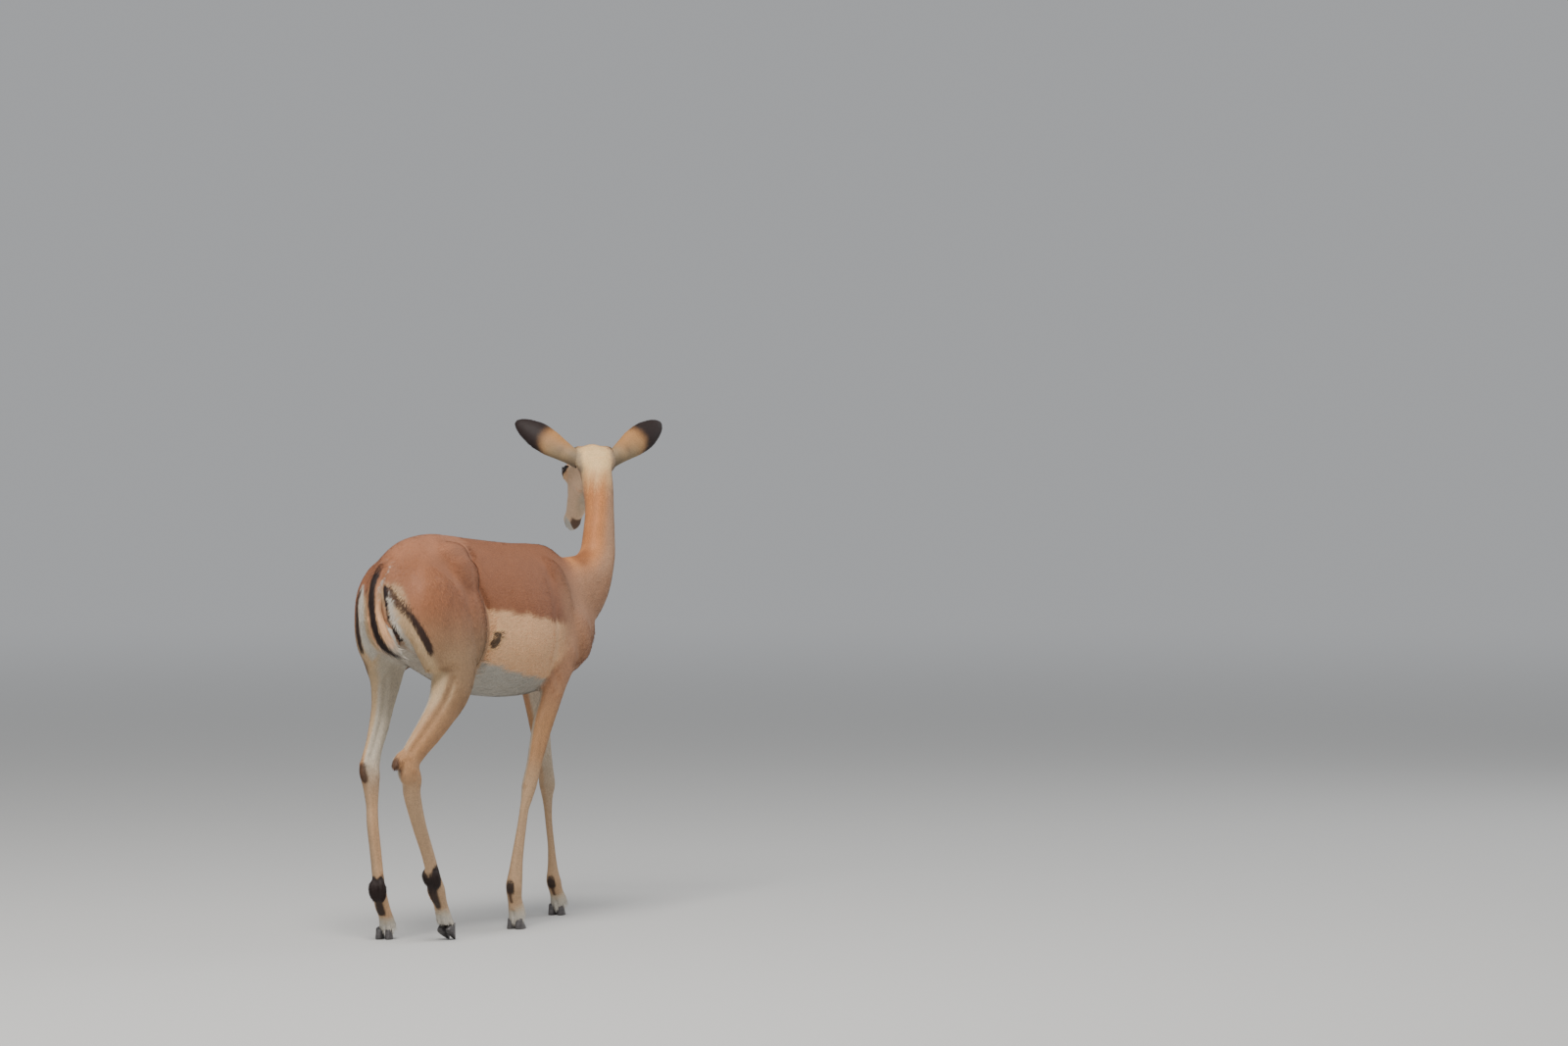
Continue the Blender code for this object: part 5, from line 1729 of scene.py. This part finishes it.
    def build(self, hide: Object, ears: list[Ear]) -> list[Object]:
        """Every piece of the coat."""
        rng = np.random.default_rng(self.seed)
        body = self.on_hide(hide.data, rng)
        groups = {
            "trunk": (Region.TRUNK, Region.TAIL),
            "neck": (Region.NECK,),
            "head": (Region.HEAD,),
            "hind_legs": (Region.HIND_LEFT, Region.HIND_RIGHT),
            "fore_legs": (Region.FORE_LEFT, Region.FORE_RIGHT),
        }
        pieces = []
        for name, regions in groups.items():
            mask = np.isin(body.region, [region.value for region in regions])
            tufts = body.part(mask)
            parts = max(1, math.ceil(mask.sum() / self.piece_limit))
            order = np.argsort(tufts.root @ np.array([1.0, 0.35, 0.0]))
            for number, chosen in enumerate(np.array_split(order, parts)):
                label = f"coat_{name}_{number + 1}" if parts > 1 else f"coat_{name}"
                pieces.append(self.blades(label, tufts.part(chosen), rng))
        for ear in ears:
            side = "left" if ear.hand > 0 else "right"
            pieces.append(self.blades("coat_ear_" + side, self.on_ear(ear, rng), rng))
        pieces.append(self.blades("lashes", self.lashes(), rng))
        return pieces


# ---------------- finishes
class Nodes:
    """A material's node tree, with short ways to add to it."""

    def __init__(self, name: str) -> None:
        """Starts a material.

        Args:
            name: the material's name.
        """
        self.made = bpy.data.materials.new(name)
        self.made.use_nodes = True
        self.tree = self.made.node_tree
        self.shader = self.tree.nodes["Principled BSDF"]

    def add(self, kind: str, **values: object) -> Node:
        """Adds a shader node, and sets its properties and, for names in title case, its inputs."""
        node = self.tree.nodes.new("ShaderNode" + kind)
        for key, value in values.items():
            if key in node.bl_rna.properties:
                setattr(node, key, value)
            else:
                node.inputs[key.replace("_", " ")].default_value = value
        return node

    def link(self, source: Socket, target: Socket) -> None:
        """Joins two sockets."""
        self.tree.links.new(source, target)

    def set(self, **values: float | Row) -> None:
        """Sets the shader's own sockets, with underscores for spaces."""
        for key, value in values.items():
            self.shader.inputs[key.replace("_", " ")].default_value = value

    def coloured(self, colour: Socket, by: Socket) -> None:
        """Gives the shader the product of two colours."""
        self.link(self.times(colour, by), self.shader.inputs["Base Color"])

    def attribute(self, name: str) -> Node:
        """A node that reads one of the mesh's attributes."""
        return self.add("Attribute", attribute_name=name)

    def noise(self, scale: float, detail: float, stretch: Row = (1, 1, 1)) -> Socket:
        """Noise over Object coordinates, stretched along the axes."""
        place = self.add("TexCoord")
        pull = self.add("Mapping", Scale=stretch)
        self.link(place.outputs["Object"], pull.inputs["Vector"])
        made = self.add("TexNoise", Scale=scale, Detail=detail)
        self.link(pull.outputs["Vector"], made.inputs["Vector"])
        return made.outputs["Fac"]

    def ramp(self, source: Socket, *stops: tuple[float, Row]) -> Socket:
        """A colour ramp over a value."""
        made = self.add("ValToRGB")
        items = made.color_ramp.elements
        while len(items) < len(stops):
            items.new(0.5)
        for item, (at, colour) in zip(items, stops):
            item.position = at
            item.color = (*colour, 1.0)
        self.link(source, made.inputs["Fac"])
        return made.outputs["Color"]

    def tone(self, source: Socket, low: float, dark: float, high: float, light: float) -> Socket:
        """A grey ramp over a value, from dark at low to light at high."""
        return self.ramp(source, (low, (dark,) * 3), (high, (light,) * 3))

    def times(self, one: Socket, other: Socket) -> Socket:
        """Two colours multiplied."""
        made = self.add("Mix", data_type="RGBA", blend_type="MULTIPLY")
        made.inputs["Factor"].default_value = 1.0
        self.link(one, made.inputs[6])
        self.link(other, made.inputs[7])
        return made.outputs[2]

    def bump(self, height: Socket, strength: float, distance: float) -> None:
        """Raises the shader's surface by a height."""
        made = self.add("Bump", Strength=strength, Distance=distance)
        self.link(height, made.inputs["Height"])
        self.link(made.outputs["Normal"], self.shader.inputs["Normal"])


@dataclass(frozen=True)
class HideFinish:
    """Short fur seen from above: fine streaks that run with the body."""

    roughness: float = 0.62

    def material(self) -> Material:
        """The hide's material."""
        nodes = Nodes("hide")
        streak = nodes.noise(900.0, 3.0, (1.0, 0.16, 0.45))
        mottle = nodes.noise(38.0, 5.0)
        fine = nodes.tone(streak, 0.3, 0.72, 0.7, 1.06)
        broad = nodes.tone(mottle, 0.25, 0.9, 0.75, 1.05)
        colour = nodes.times(nodes.attribute("coat_colour").outputs["Color"], fine)
        nodes.coloured(colour, broad)
        nodes.set(Roughness=self.roughness, Specular_IOR_Level=0.3)
        nodes.bump(streak, 0.45, 0.0006)
        return nodes.made


@dataclass(frozen=True)
class CoatFinish:
    """Smooth, slightly glossy hair."""

    roughness: float = 0.55
    sheen: float = 0.1

    @cache
    def material(self) -> Material:
        """The coat's material, made once."""
        nodes = Nodes("hair")
        broad = nodes.tone(nodes.noise(30.0, 5.0), 0.25, 0.91, 0.75, 1.05)
        nodes.coloured(nodes.attribute("coat_colour").outputs["Color"], broad)
        nodes.set(Roughness=self.roughness, Specular_IOR_Level=0.22, Sheen_Weight=self.sheen,
                  Sheen_Roughness=0.4)
        return nodes.made


@dataclass(frozen=True)
class HornFinish:
    """Dark hoof horn with faint growth rings."""

    dark: Colour = (58, 55, 56)
    light: Colour = (98, 94, 94)

    @cache
    def material(self) -> Material:
        """The hooves' material, made once."""
        nodes = Nodes("hoof_horn")
        rings = nodes.noise(60.0, 4.0, (1.0, 1.0, 14.0))
        grain = nodes.noise(420.0, 3.0, (1.0, 1.0, 0.2))
        tone = nodes.ramp(rings, (0.3, shade(*self.dark)), (0.72, shade(*self.light)))
        nodes.coloured(tone, nodes.tone(grain, 0.3, 0.8, 0.7, 1.1))
        nodes.set(Roughness=0.42, Specular_IOR_Level=0.45)
        nodes.bump(rings, 0.5, 0.0008)
        return nodes.made


@dataclass(frozen=True)
class EyeFinish:
    """A wet, dark brown eye whose pupil is a level slot, twice as long as it is high."""

    iris: tuple[tuple[float, Colour], ...] = (  # from the ball's side to its pole
        (0.62, (30, 20, 16)), (0.74, (24, 15, 10)), (0.8, (66, 38, 20)), (0.93, (84, 50, 26)))
    pupil: tuple[float, float] = (2.1, 4.2)  # one over its half length and half height

    @cache
    def material(self) -> Material:
        """The eyes' material, made once."""
        nodes = Nodes("wet_eye")
        place = nodes.attribute("eye_place")
        split = nodes.add("SeparateXYZ")
        nodes.link(place.outputs["Vector"], split.inputs[0])
        squeeze = nodes.add("CombineXYZ")
        for axis, factor in enumerate(self.pupil):
            scaled = nodes.add("Math", operation="MULTIPLY")
            scaled.inputs[1].default_value = factor
            nodes.link(split.outputs[axis], scaled.inputs[0])
            nodes.link(scaled.outputs[0], squeeze.inputs[axis])
        pupil = nodes.add("VectorMath", operation="LENGTH")
        nodes.link(squeeze.outputs[0], pupil.inputs[0])
        ring = nodes.ramp(split.outputs[2], *((at, shade(*tint)) for at, tint in self.iris))
        nodes.coloured(ring, nodes.tone(pupil.outputs["Value"], 0.86, 0.04, 1.0, 1.0))
        nodes.set(Roughness=0.12, Specular_IOR_Level=0.3, Coat_Weight=0.12, Coat_Roughness=0.03)
        return nodes.made


# ---------------- hooves
@dataclass
class Hooves:
    """The claws of every foot."""

    points: int = 28
    shares: tuple[float, ...] = (0.0, 0.05, 0.15, 0.35, 0.55, 0.75, 0.9, 1.0)

    def claw(self, claws: Claws, half: int) -> Object:
        """One claw: a pointed sole, rising and leaning back to the coronet.

        Args:
            claws: the foot that it belongs to.
            half: 1 for the left claw and -1 for the right.

        Returns:
            The claw.
        """
        bm = bmesh.new()
        stand = claws.stand() @ Matrix.Rotation(math.radians(2.5) * half, 4, "Z")
        rings = []
        for share in self.shares:
            heel, toe = claws.ends(share)
            edge = 1.0 - 0.1 * max(0.0, 1.0 - share / 0.15) ** 2
            ring = []
            for x, y in outline(self.points, 2.3):
                ahead = 0.5 + 0.5 * x * edge
                width = claws.width * (1.0 - 0.62 * ahead ** 2.2) * (1.0 - 0.1 * share)
                side = half * claws.cleft / 2 + width * (half + y * edge) / 2
                up = share * (claws.heel + (claws.front - claws.heel) * ahead)
                ring.append(stand @ Vector((side, -(heel + (toe - heel) * ahead), up)))
            rings.append(np.array(ring))
        add_loft(bm, rings)
        if claws.pitch:
            everything = bm.verts[:] + bm.edges[:] + bm.faces[:]
            cut = bmesh.ops.bisect_plane(bm, geom=everything, plane_co=(0, 0, 0),
                                         plane_no=(0, 0, -1), clear_outer=True)
            rim = [item for item in cut["geom_cut"] if isinstance(item, bmesh.types.BMEdge)]
            bmesh.ops.contextual_create(bm, geom=rim)
        label = f"{claws.name}_{'a' if half > 0 else 'b'}"
        made = new_object("claw_" + label, bm)
        for face in made.data.polygons:
            face.use_smooth = abs(face.normal.z) < 0.99
        made.data.materials.append(HornFinish().material())
        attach(made, "root")
        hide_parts("hoof_" + label)
        return made

    def build(self) -> list[Object]:
        """All eight claws."""
        return [self.claw(claws, half) for claws in FEET for half in (1, -1)]


# ---------------- the studio
@dataclass
class Studio:
    """A plain pale floor, soft light and the camera."""

    camera_at: Point = (-6.19122, 10.37947, 1.16986)
    aim: Point = (-0.58079, -0.2241, 0.87436)
    lens: float = 128.25
    sky: Row = (0.95, 0.97, 1.0, 1.0)
    sky_strength: float = 0.42
    floor_colour: Row = (0.56, 0.56, 0.55, 1.0)
    floor_radius: float = 60.0
    fade: tuple[float, float] = (3.0, 16.0)  # where the floor starts to fade, and has faded

    def floor(self) -> None:
        """The floor, which fades into the light round it with distance."""
        bm = bmesh.new()
        bmesh.ops.create_circle(bm, cap_ends=True, segments=96, radius=self.floor_radius)
        made = new_object("floor", bm)
        nodes = Nodes("floor")
        nodes.set(Base_Color=self.floor_colour, Roughness=0.85, Specular_IOR_Level=0.2)
        far = nodes.add("Emission", Color=self.sky, Strength=self.sky_strength)
        place = nodes.add("TexCoord")
        reach = nodes.add("VectorMath", operation="LENGTH")
        nodes.link(place.outputs["Object"], reach.inputs[0])
        fade = nodes.add("MapRange", interpolation_type="SMOOTHSTEP", From_Min=self.fade[0],
                         From_Max=self.fade[1])
        nodes.link(reach.outputs["Value"], fade.inputs["Value"])
        mix = nodes.add("MixShader")
        nodes.link(fade.outputs["Result"], mix.inputs[0])
        nodes.link(nodes.shader.outputs[0], mix.inputs[1])
        nodes.link(far.outputs[0], mix.inputs[2])
        output = next(node for node in nodes.tree.nodes if node.type == "OUTPUT_MATERIAL")
        nodes.link(mix.outputs[0], output.inputs["Surface"])
        made.data.materials.append(nodes.made)

    def face(self, made: Object, at: Row, aim: Row) -> None:
        """Stands a lamp or camera at a place and turns it to another."""
        made.location = at
        made.rotation_euler = (Vector(aim) - Vector(at)).to_track_quat("-Z", "Y").to_euler()

    def lamp(self, name: str, at: Row, size: float, power: float, tint: Row) -> None:
        """A soft square lamp that faces the animal."""
        light = bpy.data.lights.new(name, "AREA")
        light.size = size
        light.energy = power
        light.color = tint
        self.face(put_in_scene(name, light), at, (0, 0, 0.6))

    def build(self) -> None:
        """Everything round the animal."""
        self.floor()
        world = bpy.data.worlds.new("studio")
        world.use_nodes = True
        sky = world.node_tree.nodes["Background"].inputs
        sky["Color"].default_value = self.sky
        sky["Strength"].default_value = self.sky_strength
        bpy.context.scene.world = world
        self.lamp("key", (-1.2, 3.0, 5.2), 2.6, 430.0, (1.0, 0.97, 0.93))
        self.lamp("fill", (-2.5, -4.0, 3.0), 3.5, 60.0, (0.95, 0.97, 1.0))
        camera = bpy.data.cameras.new("camera")
        camera.lens = self.lens
        camera.sensor_width = 36.0
        made = put_in_scene("camera", camera)
        self.face(made, self.camera_at, self.aim)
        bpy.context.scene.camera = made


# ---------------- the whole
FLESH = ("trunk", "neck", "head", "tail", "ear_left", "ear_right",
         "gaskin_hind_left", "gaskin_hind_right", "cannon_hind_left", "cannon_hind_right",
         "foot_hind_left", "foot_hind_right", "forearm_left", "forearm_right",
         "cannon_fore_left", "cannon_fore_right", "foot_fore_left", "foot_fore_right")


UNDER_COAT = 0.86  # how dark the hide is against the coat that lies on it


def dress_hide(made: Object, forms: list[Form], markings: Markings, ears: list[Ear]) -> None:
    """Colours the hide, joins the ears to it and gives it its material.

    Args:
        made: the hide.
        forms: every swept part of the body.
        markings: the coat's colours.
        ears: both ears.
    """
    mesh = made.data
    paint(mesh, markings.colour(survey(forms, *places_on(mesh))) * UNDER_COAT)
    bm = bmesh.new()
    bm.from_mesh(mesh)
    for ear in ears:
        part = ear.build()
        across, reach, _ = rows_of(part.attributes["ear_place"].data, "vector").T
        off = on_animal(places_on(part)[0]) - ear.surface(across, reach)
        inside = (off @ ear.axes()[1] > 0).astype(float)
        paint(part, markings.ear(across * ear.hand, reach, inside) * UNDER_COAT)
        bm.from_mesh(part)
    bm.to_mesh(mesh)
    bm.free()
    for face in mesh.polygons:
        face.use_smooth = True
    mesh.materials.append(HideFinish().material())
    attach(made, "root")
    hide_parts(*FLESH)


def main() -> None:
    """Builds the animal and the studio, and logs how many triangles each piece has."""
    forms, markings = all_forms(), Markings()
    ears = [Ear(hand) for hand in HANDS]
    hide = Hide(forms).build()
    coat = Coat(forms, markings).build(hide, ears)
    dress_hide(hide, forms, markings, ears)
    eyes = [Eye(hand).build() for hand in HANDS]
    for piece in [hide, *coat, *eyes, *Hooves().build()]:
        LOG.info("%s: %d triangles", piece.name, triangles(piece))
    LOG.info("coat: %d triangles in all", sum(triangles(piece) for piece in coat))
    Studio().build()


if __name__ == "__main__":
    main()
